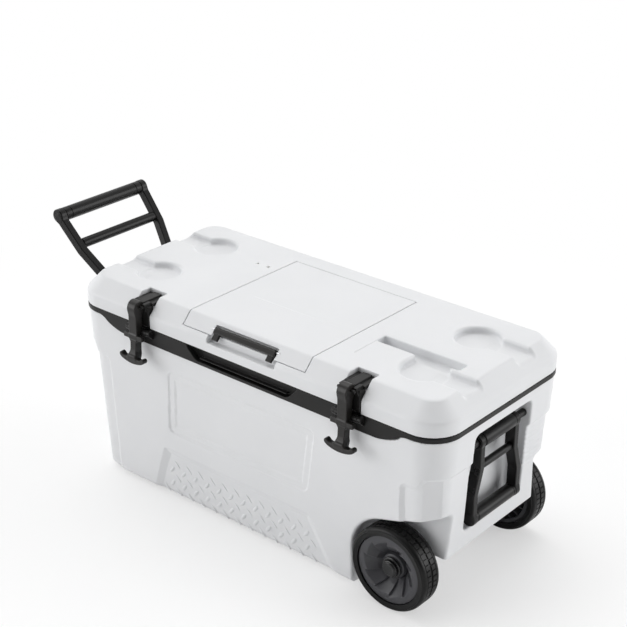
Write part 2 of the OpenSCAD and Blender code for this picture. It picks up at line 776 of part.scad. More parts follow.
// Dark collar that lines the opening under the hatch
module port_collar() {
  color("#1d1d1e") difference() {
    union() {
      port(-body_gap, plug_z, ledge_z - 3);
      port(lid_cover, plug_z, lid_z - body_gap);
    }
    port(-2.2, plug_z - 5, ledge_z + 5);
  }
}

// ---------- hatch latch ----------

bar_up = -13;
leg_w = 12;
leg_x = 60;
leg_drop = 4;           // how far the legs reach past the bar
bar_pin_r = 1.5;
module bar_pin_bore(g, half = bar_half + 9) {
  on_slope() translate([0, bar_up - 4, -0.5]) rod_x(bar_pin_r + g, -half, half);
}
module hatch_latch() {
  color("#2b2b2c") difference() {
    on_slope() {
      along_x(-bar_half, bar_half) polygon(rounded([[bar_up, -bar_t + 3.5, 1], [bar_up, 3.5, 2.5],
        [bar_up - bar_h, 3.5, 2.5], [bar_up - bar_h, -bar_t + 3.5, 1]], 3));
      both_x() box([leg_x - leg_w/2, bar_up - bar_h - leg_drop, -4.5], [leg_x + leg_w/2, bar_up - bar_h + 2, 1]);
    }
    bar_pin_bore(run_gap, bar_half + 1);
  }
}
module hatch_latch_pins() {
  color("silver") on_slope() both_x() translate([0, bar_up - 4, -0.5])
    rod_x(bar_pin_r, bar_half - 14, bar_half + 9);
}

// ---------- lid latches ----------

module latch_mount(e) {
  mount_back = -(body_w/2 - 12.5);
  w = latch_slot/2 - 0.5;
  lug = arm_w/2 + 0.5;
  color("#262627") translate([e*latch_x, 0, 0]) difference() {
    union() {
      box([-w, mount_back - 1, lid_top - 13.5], [w, latch_back - 0.5, lid_top - 4]);
      box([-w, -(body_w/2 + 1), lid_z + 2], [w, mount_back, lid_top - 12]);
      both_x() along_x(lug, w) polygon(rounded([[mount_back, lid_top - 4, 0],
        [latch_pin_y - 9, lid_top - 4, 5], [latch_pin_y - 9, latch_pin_z - 9, 5],
        [mount_back - 8, lid_top - 40, 0], [mount_back, lid_top - 40, 0]], 4));
    }
    box([-lug, latch_pin_y - 20, lid_z], [lug, -(body_w/2 + 1), far]);
    translate([0, latch_pin_y, latch_pin_z]) rotate([0, 90, 0]) cylinder(r = 10.6, h = 2*lug, center = true);
    translate([0, latch_pin_y, latch_pin_z]) rod_x(latch_pin_r, -far/2, far/2);
  }
}
module latch_mount_left() { latch_mount(-1); }
module latch_mount_right() { latch_mount(1); }
module latch_pins() {
  w = latch_slot/2 - 2;
  color("silver") both_x() translate([latch_x, latch_pin_y, latch_pin_z]) rod_x(latch_pin_r, -w, w);
}

cross_z = peg_z - 8;
cross_half = 24;
tee_half = 33;
module latch(e) {
  foot_z = latch_pin_z - arm_len;
  color("#303031") translate([e*latch_x, 0, 0]) difference() {
    union() {
      translate([0, latch_pin_y, latch_pin_z]) rod_x(10, -arm_w/2, arm_w/2);
      box([-arm_w/2, arm_y - arm_t/2, foot_z + 8], [arm_w/2, arm_y + arm_t/2, latch_pin_z]);
      box([-cross_half, peg_y - peg_r - 11, cross_z - 5], [cross_half, peg_y - peg_r - 1, cross_z + 5]);
      along_y(arm_y - 14, arm_y - 2) polygon(rounded([[-tee_half, foot_z + 17, 4], [-tee_half + 9, foot_z + 17, 4],
        [-12, foot_z + 11, 4], [-8, foot_z + 24, 0], [8, foot_z + 24, 0], [12, foot_z + 11, 4],
        [tee_half - 9, foot_z + 17, 4], [tee_half, foot_z + 17, 4], [tee_half - 6, foot_z + 5, 6],
        [12, foot_z, 8], [-12, foot_z, 8], [-tee_half + 6, foot_z + 5, 6]], 4));
    }
    translate([0, latch_pin_y, latch_pin_z]) rod_x(latch_pin_r + run_gap, -far/2, far/2);
  }
}
module latch_left() { latch(-1); }
module latch_right() { latch(1); }

// ---------- handles ----------

// Draws a folded handle in its own frame: Z down the handle from the pivot, Y across, X its depth
module handle_frame(e, angle) {
  translate([e*pivot_x(e), 0, pivot_z(e)]) rotate([0, -e*angle, 0]) mirror([0, 0, 1]) children();
}
module handle_rod(e, half) {
  color("silver") translate([e*pivot_x(e), 0, pivot_z(e)]) rod_y(rod_r, -half, half);
}
module handle_rod_left() { handle_rod(-1, left_top + 8); }
module handle_rod_right() { handle_rod(1, right_top + 8); }

// Side rail: centre line points [y, distance from pivot], width, thickness
module rail(path, w, t, end_r) {
  outline = concat([for (p = path) [p[0] + w/2, p[1]]], [for (i = [len(path)-1:-1:0]) [path[i][0] - w/2, path[i][1]]]);
  both_y() difference() {
    union() {
      translate([-t/2, 0, 0]) rotate([90, 0, 90]) linear_extrude(t) polygon(outline);
      translate([0, path[0][0], 0]) rod_y(t/2 + 2, -w/2, w/2);
      translate([0, path[len(path)-1][0], path[len(path)-1][1]]) rod_y(end_r, -w/2, w/2);
    }
    rod_y(rod_r + run_gap, -far, far);
  }
}

tow_eye = left_top - 22;
tow_half = left_bottom - 20;
tow_path = [[tow_eye, 0], [tow_eye, 13], [tow_eye + 4, 30], [tow_half - 4.5, tow_len - 81],
  [tow_half, tow_len - 16], [tow_half, tow_len]];
tow_cross = tow_len - 68;
module tow_rails() {
  color("#2e2e30") handle_frame(-1, tow_raised) rail(tow_path, 15, 18, 14);
}
module tow_crossbar() {
  half = tow_half - 12;
  color("#2e2e30") handle_frame(-1, tow_raised) translate([0, 0, tow_cross]) rod_y(10, -half, half);
}
module tow_grip() {
  color("#242425") handle_frame(-1, tow_raised) translate([0, 0, tow_len]) rod_y(13.5, -tow_half + 7.5, tow_half - 7.5);
}

carry_cross = 51;
carry_eye = right_top - 33;
carry_half = right_bottom - 21.5;
carry_w = 13;
carry_path = [[carry_eye, 0], [carry_eye, carry_cross + 1], [carry_half, carry_len - 49], [carry_half, carry_len]];
module carry_rails_right() {
  color("#2e2e30") handle_frame(1, 0) rail(carry_path, carry_w, 20, 13);
}
module carry_tube_right() {
  half = carry_eye - carry_w/2;
  color("#242425") handle_frame(1, 0) difference() {
    rod_y(13, -half, half);
    rod_y(rod_r + run_gap, -far, far);
  }
}
module carry_crossbar_right() {
  half = carry_eye - carry_w/2;
  color("#2e2e30") handle_frame(1, 0) translate([0, 0, carry_cross]) rod_y(7, -half, half);
}
module carry_grip_right() {
  half = carry_half - carry_w/2;
  color("#242425") handle_frame(1, 0) translate([0, 0, carry_len]) rod_y(12.5, -half, half);
}

nest_half = left_top - 44;
module carry_plate_left() {
  color("#2e2e30") handle_frame(-1, 0) difference() {
    union() {
      rod_y(11, -nest_half - 8, nest_half + 8);
      box([-3, -nest_half + 2, 0], [3, nest_half - 2, 46]);
      both_y() translate([-7, nest_half - 4, 0]) cube([14, 12, nest_len + 4]);
    }
    rod_y(rod_r + run_gap, -far, far);
  }
}
module carry_grip_left() {
  color("#242425") handle_frame(-1, 0) translate([0, 0, nest_len]) rod_y(11, -nest_half + 4, nest_half - 4);
}

// ---------- lid stay ----------

// Two links stand for the wire stay: they hang in a V with the lid shut and pull straight with it open
stay_x = open_l/2 - 14;
stay_step = 4;
stay_r = 1.5;
stay_pin_r = 2;
eye_r = 4.5;
eye_t = 3.6;
stay_tub = [hinge_y - 186, rim_z - 70];
stay_lid = [hinge_y - 142, plug_z - 5.5];
stay_low = 118;
function turn(p, a) = [p[0]*cos(a) + p[1]*sin(a), p[1]*cos(a) - p[0]*sin(a)];
hinge_c = [hinge_y, hinge_z];
stay_up = norm(hinge_c + turn(stay_lid - hinge_c, lid_open) - stay_tub) - stay_low + 0.2;
stay_apex = let(d = stay_lid - stay_tub, b = norm(d), a = (stay_low*stay_low - stay_up*stay_up + b*b)/(2*b),
                h = sqrt(stay_low*stay_low - a*a), u = d/b) stay_tub + a*u + h*[u[1], -u[0]];

// A link between two eyes; the bore is in the first one
module link(x, p, q) {
  d = q - p;
  difference() {
    union() {
      translate([x, p[0], p[1]]) rotate([atan2(d[1], d[0]) - 90, 0, 0]) cylinder(r = stay_r, h = norm(d));
      for (c = [p, q]) translate([0, c[0], c[1]]) rod_x(eye_r, x - eye_t/2, x + eye_t/2);
    }
    translate([0, p[0], p[1]]) rod_x(stay_pin_r + run_gap, x - eye_t, x + eye_t);
  }
}
module stay_lower() { color("silver") link(stay_x, stay_tub, stay_apex); }
module stay_upper() { color("silver") link(stay_x - stay_step, stay_lid, stay_apex); }

// A pin with a head through the eye, on a small foot
module stay_anchor(p, x0, x1) {
  translate([0, p[0], p[1]]) {
    rod_x(stay_pin_r, x0 - eye_t/2 - 2.5, x1);
    rod_x(eye_r - 1, x0 - eye_t/2 - 2.5, x0 - eye_t/2 - body_gap);
  }
}
module stay_anchor_tub() {
  wall_x = open_l/2 - (rim_z - stay_tub[1])*slope;
  color("#262627") {
    stay_anchor(stay_tub, stay_x, wall_x - 1);
    translate([0, stay_tub[0], stay_tub[1]]) rod_x(8, stay_x + eye_t/2 + body_gap, wall_x - 0.5);
  }
}
module stay_anchor_lid() {
  x = stay_x - stay_step;
  color("#262627") {
    stay_anchor(stay_lid, x, x + 7);
    box([x + eye_t/2 + body_gap, stay_lid[0] - 8, stay_lid[1] - 5], [x + 8, stay_lid[0] + 8, plug_z]);
  }
}

// ---------- the whole cooler ----------

tub_shell();
tub_insulation();
tub_liner();
rim_trim();
keeper_left();
keeper_right();
tub_hinge_left();
tub_hinge_right();
hinge_pins();
axle();
axle_bracket_front();
axle_bracket_back();
push_nuts();
handle_rod_left();
handle_rod_right();
drain_fitting();
drain_plug();
tyre_front();
wheel_rim_front();
hub_cap_front();
tyre_back();
wheel_rim_back();
hub_cap_back();
lid_shell();
lid_insulation();
lid_liner();
lid_gasket();
lid_hinge_left();
lid_hinge_right();
latch_mount_left();
latch_mount_right();
latch_pins();
latch_left();
latch_right();
port_collar();
ice_pack_left();
ice_pack_right();
pack_clip_left();
pack_clip_right();
hatch_shell();
hatch_liner();
hatch_insulation();
hatch_gasket();
hatch_pins();
hatch_latch();
hatch_latch_pins();
tow_rails();
tow_crossbar();
tow_grip();
carry_rails_right();
carry_tube_right();
carry_crossbar_right();
carry_grip_right();
carry_plate_left();
carry_grip_left();
stay_lower();
stay_upper();
stay_anchor_tub();
stay_anchor_lid();
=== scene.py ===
import math

import bpy
import numpy as np
from mathutils import Matrix, Vector


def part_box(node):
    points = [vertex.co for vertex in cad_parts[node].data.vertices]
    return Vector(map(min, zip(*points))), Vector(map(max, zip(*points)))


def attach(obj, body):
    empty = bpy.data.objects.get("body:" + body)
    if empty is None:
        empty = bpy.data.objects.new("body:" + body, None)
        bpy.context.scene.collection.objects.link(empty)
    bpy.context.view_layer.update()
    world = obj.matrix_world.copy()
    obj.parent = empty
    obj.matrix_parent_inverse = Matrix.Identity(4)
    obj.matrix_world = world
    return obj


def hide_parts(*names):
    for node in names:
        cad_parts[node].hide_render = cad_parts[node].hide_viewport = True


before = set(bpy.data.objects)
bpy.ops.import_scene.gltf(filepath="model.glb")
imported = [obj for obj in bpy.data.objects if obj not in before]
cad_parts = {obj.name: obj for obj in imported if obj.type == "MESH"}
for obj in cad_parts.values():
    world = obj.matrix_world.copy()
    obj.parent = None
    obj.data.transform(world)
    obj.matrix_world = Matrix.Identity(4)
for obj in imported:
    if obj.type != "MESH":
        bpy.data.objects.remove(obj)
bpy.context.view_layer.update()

# The cooler stands on the floor at z = 0 with its wheels at +X and its latches facing -Y.
# Shapes are worked out in millimetres and turned into metres when a mesh is made.

MM = 0.001


def box_mm(node):
    """Lowest and highest corner of a frame node, in millimetres."""
    low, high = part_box(node)
    return np.array(low)/MM, np.array(high)/MM


# ---------- main sizes, taken from the frame ----------

rim_high, tub_high, hatch_high = (box_mm(node)[1] for node in ("rim_trim", "tub_shell", "hatch_shell"))
lid_low, lid_high = box_mm("lid_shell")
tyre_low, tyre_high = box_mm("tyre_front")
half_l, half_w = lid_high[0], lid_high[1]     # half length and half width over rim and lid
rim_z = rim_high[2]
tub_z = tub_high[2]                           # top of the tub's wall, under the rim
lid_z, lid_top = lid_low[2], lid_high[2]
wheel_x = (tyre_low[0] + tyre_high[0])/2
wheel_r = (tyre_high[0] - tyre_low[0])/2
tyre_out = -tyre_low[1]
tyre_in = -tyre_high[1]
latch_x = (box_mm("latch_right")[0][0] + box_mm("latch_right")[1][0])/2
hatch_half, hatch_back = hatch_high[0], hatch_high[1]

corner_r = 59
draft = math.tan(math.radians(2.6))           # the walls lean in towards the base
base_z = 3                                    # the base's edge stands this high off the floor
liner_gap = 3.3                               # from the basin's surface to what is cut to hold the liner
lid_band = 25                                 # height of the lid's upright band
lid_bevel = 28                                # width of the slope above the band
crease_z = lid_z + lid_band                   # the crease between band and slope
bevel_slope = (lid_top - crease_z)/lid_bevel
top_y = half_w - lid_bevel                    # half width of the lid's flat top
arch_r = 87                                   # the rooms over the wheels
arch_lean = math.radians(6)                   # the arch's axis climbs towards the outside
arch_rise = math.radians(17.5)                # its roof climbs towards the end of the cooler
arch_in = 136                                 # its inner wall, from the middle of the cooler
pocket_x = half_l - 43                        # back wall of both handle pockets
pocket_top = tub_z - 20
SIDES = ((-1, "left"), (1, "right"))
ENDS = ((-1, "front"), (1, "back"))


# ---------- solid shapes as distance fields: below zero is inside ----------

def common(a, b, r=0.0):
    """What two shapes share, with the edge between them rounded."""
    if r == 0:
        return np.maximum(a, b)
    return np.minimum(-r, np.maximum(a, b)) + np.hypot(np.maximum(a + r, 0), np.maximum(b + r, 0))


def joined(a, b, r=0.0):
    """Two shapes as one, with a fillet between them."""
    return -common(-a, -b, r)


def cut(a, b, r=0.0):
    """The first shape with the second taken away, and the new edge rounded."""
    return common(a, -b, r)


def between(v, low, high):
    """A flat layer from low to high."""
    return np.maximum(low - v, v - high)


def rounded_box(u, v, half_u, half_v, r):
    """A rectangle about the origin with round corners."""
    a, b = np.abs(u) - half_u + r, np.abs(v) - half_v + r
    return np.hypot(np.maximum(a, 0), np.maximum(b, 0)) + np.minimum(np.maximum(a, b), 0) - r


def block(x, y, z, low, high, r):
    """A box between two corners with round edges."""
    a, b, c = (np.abs(v - (p + q)/2) - (q - p)/2 + r for v, p, q in zip((x, y, z), low, high))
    outside = np.sqrt(np.maximum(a, 0)**2 + np.maximum(b, 0)**2 + np.maximum(c, 0)**2)
    return outside + np.minimum(np.maximum(np.maximum(a, b), c), 0) - r


def strip(u, v, path, half):
    """A band of even width along a line of points."""
    best = None
    for (a, b), (c, d) in zip(path, path[1:]):
        du, dv = c - a, d - b
        t = np.clip(((u - a)*du + (v - b)*dv)/(du*du + dv*dv), 0, 1)
        here = np.hypot(u - a - t*du, v - b - t*dv)
        best = here if best is None else np.minimum(best, here)
    return best - half


def outline(u, v, points, r):
    """A convex outline, its points anticlockwise, with rounded corners."""
    best = None
    for (a, b), (c, d) in zip(points, points[1:] + points[:1]):
        length = math.hypot(c - a, d - b)
        side = ((u - a)*(d - b) - (v - b)*(c - a))/length
        best = side if best is None else common(best, side, r)
    return best


def rise(v, low, high):
    """Eases from 0 at low to 1 at high."""
    t = np.clip((v - low)/(high - low), 0, 1)
    return t*t*(3 - 2*t)


# ---------- meshes from distance fields ----------

def lines(*spans):
    """Places of the grid's planes: spans of (from, to, step) that follow each other."""
    parts = [np.linspace(a, b, max(int(round((b - a)/step)), 1) + 1)[:-1] for a, b, step in spans]
    return np.concatenate(parts + [[spans[-1][1]]])


def grid(low, high, step):
    """An even grid of planes from corner to corner, with a margin all round."""
    return [lines((a - 1.5*step, b + 1.5*step, step)) for a, b in zip(low, high)]


def net(values, axes):
    """Points and four-sided faces of the surface where the values cross zero."""
    inside = values < 0
    cells = np.array(values.shape) - 1
    rings, crossings = [], []
    for k in range(3):
        i, j = (k + 1) % 3, (k + 2) % 3
        first, second = [slice(None)]*3, [slice(None)]*3
        first[k], second[k] = slice(0, -1), slice(1, None)
        at = np.argwhere(inside[tuple(first)] != inside[tuple(second)])
        at = at[(at[:, i] > 0) & (at[:, i] < cells[i]) & (at[:, j] > 0) & (at[:, j] < cells[j])]
        after = at.copy()
        after[:, k] += 1
        a, b = values[tuple(at.T)], values[tuple(after.T)]
        point = np.stack([axes[n][at[:, n]] for n in range(3)], 1)
        point[:, k] += a/(a - b)*(axes[k][after[:, k]] - axes[k][at[:, k]])
        ring = []
        for di, dj in ((-1, -1), (0, -1), (0, 0), (-1, 0)):
            cell = at.copy()
            cell[:, i] += di
            cell[:, j] += dj
            ring.append(np.ravel_multi_index(cell.T, cells))
        ring = np.stack(ring, 1)
        ring[a >= 0] = ring[a >= 0][:, ::-1]
        rings.append(ring)
        crossings.append(point)
    rings, crossings = np.concatenate(rings), np.concatenate(crossings)
    _, index = np.unique(rings.ravel(), return_inverse=True)
    index = index.ravel()
    count = np.bincount(index)
    spread = np.repeat(crossings, 4, axis=0)
    points = np.stack([np.bincount(index, weights=spread[:, n])/count for n in range(3)], 1)
    return points, index.reshape(-1, 4)


def slopes(field, points, reach=0.3):
    """Which way the field rises at each point."""
    rows = []
    for step in np.eye(3)*reach:
        rows.append((field(*(points + step).T) - field(*(points - step).T))/(2*reach))
    return np.stack(rows, 1)


def settle(field, points, rounds=2, reach=1.5):
    """Moves points onto the surface, each by no more than the reach in a round."""
    for _ in range(rounds):
        rising = slopes(field, points)
        step = field(*points.T)[:, None]*rising/np.maximum((rising**2).sum(1, keepdims=True), 0.25)
        far = np.linalg.norm(step, axis=1, keepdims=True)
        points = points - step*np.minimum(1, reach/np.maximum(far, 1e-9))
    return points


def mesh_of(name, points, faces):
    """A new mesh from points in metres and faces, given as an array or as a list."""
    mesh = bpy.data.meshes.new(name)
    if isinstance(faces, np.ndarray):
        size = faces.shape[1]
        mesh.vertices.add(len(points))
        mesh.vertices.foreach_set("co", np.asarray(points, np.float32).ravel())
        mesh.loops.add(faces.size)
        mesh.loops.foreach_set("vertex_index", faces.astype(np.int32).ravel())
        mesh.polygons.add(len(faces))
        mesh.polygons.foreach_set("loop_start", np.arange(0, faces.size, size, dtype=np.int32))
        mesh.update(calc_edges=True)
    else:
        mesh.from_pydata([tuple(p) for p in points], [], [tuple(f) for f in faces])
    mesh.validate()
    return mesh


def thinned(name, points, faces, wanted):
    """The same surface with fewer faces, flat parts first."""
    mesh = mesh_of(name, points, faces)
    triangles = 2*len(faces)
    if triangles > wanted:
        holder = bpy.data.objects.new(name, mesh)
        bpy.context.scene.collection.objects.link(holder)
        fewer = holder.modifiers.new("fewer", "DECIMATE")
        fewer.ratio = wanted/triangles
        shown = holder.evaluated_get(bpy.context.evaluated_depsgraph_get())
        smaller = bpy.data.meshes.new_from_object(shown)
        bpy.data.objects.remove(holder)
        bpy.data.meshes.remove(mesh)
        mesh = smaller
        mesh.name = name
    return mesh


def as_array(mesh):
    """The mesh's points as rows of an array."""
    points = np.empty(len(mesh.vertices)*3, np.float32)
    mesh.vertices.foreach_get("co", points)
    return points.reshape(-1, 3).astype(float)


def smooth_all(mesh):
    """Shades every face smooth."""
    mesh.polygons.foreach_set("use_smooth", np.ones(len(mesh.polygons), bool))


materials = {}


def add_piece(name, mesh, slot, body, stands_for=()):
    """Puts a finished mesh, in metres, into the scene on its body."""
    mesh.materials.clear()
    mesh.materials.append(materials[slot])
    piece = bpy.data.objects.new(name, mesh)
    bpy.context.scene.collection.objects.link(piece)
    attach(piece, body)
    if stands_for:
        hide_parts(*stands_for)
    return piece


def to_metres(mesh, points, normals, place=None):
    """Writes points and normals, turned into place, back to a mesh in metres."""
    if place is not None:
        turn, move = np.array(place.to_3x3()), np.array(place.translation)
        points, normals = points @ turn.T + move, normals @ turn.T
    mesh.vertices.foreach_set("co", (points*MM).astype(np.float32).ravel())
    mesh.update()
    smooth_all(mesh)
    normals = normals/np.maximum(np.linalg.norm(normals, axis=1, keepdims=True), 1e-9)
    mesh.normals_split_custom_set_from_vertices(normals.tolist())


def moulded(name, field, axes, slot, body, stands_for=(), faces=None, place=None, sharp=0.3):
    """A moulded piece: the surface of a distance field, drawn on a grid of lines."""
    xs, ys, zs = axes
    values = field(xs[:, None, None], ys[None, :, None], zs[None, None, :])
    values = np.broadcast_to(values, (len(xs), len(ys), len(zs)))
    points, quads = net(values, axes)
    step = max((a[-1] - a[0])/(len(a) - 1) for a in axes)
    points = settle(field, points, 2, step/2)
    mesh = thinned(name, points, quads, faces or 10**9)
    points = settle(field, as_array(mesh), 1, step/4)
    to_metres(mesh, points, slopes(field, points, sharp), place)
    return add_piece(name, mesh, slot, body, stands_for)


def turned(name, radii, heights, slot, body, stands_for=(), place=None, closed=False):
    """A turned piece: rings of radii and heights, arrays of (ring, step round), about the Z axis."""
    rings, round_n = np.broadcast_shapes(radii.shape, heights.shape)
    radii, heights = np.broadcast_to(radii, (rings, round_n)), np.broadcast_to(heights, (rings, round_n))
    angle = np.linspace(0, 2*math.pi, round_n, endpoint=False)
    points = np.stack([radii*np.cos(angle), radii*np.sin(angle), heights], 2).reshape(-1, 3)
    row, step = np.meshgrid(np.arange(rings if closed else rings - 1), np.arange(round_n), indexing="ij")
    after, beside = (row + 1) % rings, (step + 1) % round_n
    faces = np.stack([row*round_n + step, row*round_n + beside, after*round_n + beside,
                      after*round_n + step], -1).reshape(-1, 4)
    if place is not None:
        points = points @ np.array(place.to_3x3()).T + np.array(place.translation)
    mesh = mesh_of(name, points*MM, faces)
    smooth_all(mesh)
    mesh.set_sharp_from_angle(angle=math.radians(38))
    return add_piece(name, mesh, slot, body, stands_for)


def even(profile, step):
    """Radii and heights, for a turned piece, of one profile that is the same all round."""
    radii, heights = np.array(profile).T
    return tuple(np.repeat(part[:, None], step, 1) for part in (radii, heights))


# ---------- finishes ----------

def group(name, inputs, outputs):
    """An empty node group with named sockets; returns it with its input and output nodes."""
    tree = bpy.data.node_groups.new(name, "ShaderNodeTree")
    for label, kind, value in inputs:
        socket = tree.interface.new_socket(name=label, in_out="INPUT", socket_type=kind)
        socket.default_value = value
    for label, kind in outputs:
        tree.interface.new_socket(name=label, in_out="OUTPUT", socket_type=kind)
    return tree, tree.nodes.new("NodeGroupInput"), tree.nodes.new("NodeGroupOutput")


def ranged(tree, value, low, high):
    """Maps a value between 0.3 and 0.7 onto two others, and returns the result's socket."""
    node = tree.nodes.new("ShaderNodeMapRange")
    node.inputs["From Min"].default_value, node.inputs["From Max"].default_value = 0.3, 0.7
    tree.links.new(value, node.inputs["Value"])
    for label, end in (("To Min", low), ("To Max", high)):
        if isinstance(end, float):
            node.inputs[label].default_value = end
        else:
            tree.links.new(end, node.inputs[label])
    return node.outputs["Result"]


def noise(tree, scale, detail=3.0, stretch=None):
    """Noise in the piece's own space; scale is a number or a socket, in waves to the metre."""
    place = tree.nodes.new("ShaderNodeTexCoord").outputs["Object"]
    if stretch:
        mapping = tree.nodes.new("ShaderNodeMapping")
        mapping.inputs["Scale"].default_value = stretch
        tree.links.new(place, mapping.inputs["Vector"])
        place = mapping.outputs["Vector"]
    node = tree.nodes.new("ShaderNodeTexNoise")
    node.inputs["Detail"].default_value = detail
    node.inputs["Roughness"].default_value = 0.6
    tree.links.new(place, node.inputs["Vector"])
    if isinstance(scale, float):
        node.inputs["Scale"].default_value = scale
    else:
        tree.links.new(scale, node.inputs["Scale"])
    return node.outputs["Fac"]


def grain_group():
    """Pebbled mould texture: fine grain with a broad swell under it."""
    tree, given, out = group("mould_grain", [
        ("Scale", "NodeSocketFloat", 900.0), ("Swell", "NodeSocketFloat", 0.2)],
        [("Height", "NodeSocketFloat")])
    fine = noise(tree, given.outputs["Scale"], 2.0)
    broad = noise(tree, 26.0, 1.0)
    mix = tree.nodes.new("ShaderNodeMath")
    mix.operation = "MULTIPLY_ADD"
    tree.links.new(broad, mix.inputs[0])
    tree.links.new(given.outputs["Swell"], mix.inputs[1])
    tree.links.new(fine, mix.inputs[2])
    tree.links.new(mix.outputs[0], out.inputs["Height"])
    return tree


def tone_group():
    """Slow drift between two tones of one colour, with fainter flecks in it."""
    tree, given, out = group("tone_drift", [
        ("Light", "NodeSocketColor", (0.8, 0.8, 0.8, 1)), ("Deep", "NodeSocketColor", (0.7, 0.7, 0.7, 1)),
        ("Scale", "NodeSocketFloat", 6.0)], [("Color", "NodeSocketColor")])
    slow = ranged(tree, noise(tree, given.outputs["Scale"], 4.0), 0.0, 1.0)
    mix = tree.nodes.new("ShaderNodeMix")
    mix.data_type = "RGBA"
    tree.links.new(slow, mix.inputs["Factor"])
    tree.links.new(given.outputs["Light"], mix.inputs["A"])
    tree.links.new(given.outputs["Deep"], mix.inputs["B"])
    colour = [s for s in mix.outputs if s.type == "RGBA"][0]
    tree.links.new(colour, out.inputs["Color"])
    return tree


def rub_group():
    """Roughness that handling has polished in some places and dulled in others."""
    tree, given, out = group("handling_rub", [
        ("Polished", "NodeSocketFloat", 0.35), ("Dull", "NodeSocketFloat", 0.5),
        ("Scale", "NodeSocketFloat", 12.0)], [("Roughness", "NodeSocketFloat")])
    tree.links.new(ranged(tree, noise(tree, given.outputs["Scale"], 5.0), given.outputs["Polished"],
                          given.outputs["Dull"]), out.inputs["Roughness"])
    return tree


mould_grain, tone_drift, handling_rub = grain_group(), tone_group(), rub_group()


def placed(tree, made, **values):
    """A group's node in a material, with its values."""
    node = tree.nodes.new("ShaderNodeGroup")
    node.node_tree = made
    for label, value in values.items():
        node.inputs[label].default_value = value
    return node


def finish_of(slot, light, deep, rough, grain=900.0, depth=0.02, swell=0.2, tone=6.0, rub=12.0, **fixed):
    """A material in two tones, with rubbed roughness and mould grain."""
    made = bpy.data.materials.new(slot)
    made.use_nodes = True
    tree = made.node_tree
    shader = tree.nodes["Principled BSDF"]
    colour = placed(tree, tone_drift, Light=(*light, 1), Deep=(*deep, 1), Scale=tone)
    tree.links.new(colour.outputs["Color"], shader.inputs["Base Color"])
    worn = placed(tree, handling_rub, Polished=rough[0], Dull=rough[1], Scale=rub)
    tree.links.new(worn.outputs["Roughness"], shader.inputs["Roughness"])
    pebble = placed(tree, mould_grain, Scale=grain, Swell=swell)
    bump = tree.nodes.new("ShaderNodeBump")
    bump.inputs["Strength"].default_value = 1.0
    bump.inputs["Distance"].default_value = depth*MM
    tree.links.new(pebble.outputs["Height"], bump.inputs["Height"])
    tree.links.new(bump.outputs["Normal"], shader.inputs["Normal"])
    for label, value in fixed.items():
        shader.inputs[label.replace("_", " ")].default_value = value
    materials[slot] = made
    return made


finish_of("white_plastic", (0.765, 0.772, 0.785), (0.735, 0.743, 0.757), (0.42, 0.54), grain=750.0, depth=0.07,
          swell=1.0, tone=5.0)
finish_of("dark_plastic", (0.012, 0.0115, 0.0112), (0.009, 0.0087, 0.0085), (0.30, 0.42),
          grain=800.0, depth=0.03, Specular_IOR_Level=0.24)
finish_of("grip_plastic", (0.0080, 0.0077, 0.0074), (0.0062, 0.0060, 0.0058), (0.26, 0.34),
          grain=1100.0, depth=0.02, Specular_IOR_Level=0.22)
finish_of("latch_rubber", (0.016, 0.0148, 0.0138), (0.012, 0.0112, 0.0104), (0.28, 0.38),
          grain=1000.0, depth=0.02, Specular_IOR_Level=0.34)
finish_of("tyre_plastic", (0.0065, 0.0065, 0.0065), (0.005, 0.005, 0.005), (0.28, 0.38),
          grain=1300.0, depth=0.02, Specular_IOR_Level=0.22)
finish_of("wheel_grey", (0.060, 0.060, 0.066), (0.052, 0.052, 0.057), (0.34, 0.46), grain=900.0, depth=0.05,
          Specular_IOR_Level=0.35)
finish_of("cap_black", (0.005, 0.005, 0.0055), (0.004, 0.004, 0.0045), (0.20, 0.28), grain=500.0, depth=0.01,
          Coat_Weight=0.2, Coat_Roughness=0.12, Specular_IOR_Level=0.35)
finish_of("steel", (0.60, 0.60, 0.61), (0.50, 0.50, 0.52), (0.22, 0.38), grain=1500.0, depth=0.02,
          Metallic=1.0)
finish_of("foam", (0.82, 0.72, 0.42), (0.74, 0.63, 0.34), (0.80, 0.92), grain=500.0, depth=0.5)
finish_of("seal_rubber", (0.045, 0.045, 0.046), (0.036, 0.036, 0.037), (0.55, 0.68), grain=1200.0, depth=0.1)
finish_of("ice_pack_blue", (0.27, 0.56, 0.79), (0.22, 0.49, 0.73), (0.34, 0.46), grain=700.0, depth=0.06,
          tone=20.0, Subsurface_Weight=0.1, Subsurface_Scale=0.004)

NODE_FINISH = {
    "foam": ["tub_insulation", "lid_insulation", "hatch_insulation"],
    "steel": ["hinge_pins", "axle", "push_nuts", "handle_rod_left", "handle_rod_right",
              "hatch_pins", "hatch_latch_pins", "stay_lower", "stay_upper"],
    "seal_rubber": ["lid_gasket", "hatch_gasket"],
    "dark_plastic": ["axle_bracket_front", "axle_bracket_back", "stay_anchor_tub", "stay_anchor_lid"],
}
for finish, nodes in NODE_FINISH.items():
    for node in nodes:
        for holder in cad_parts[node].material_slots:
            holder.material = materials[finish]


# ---------- floor, light and camera ----------

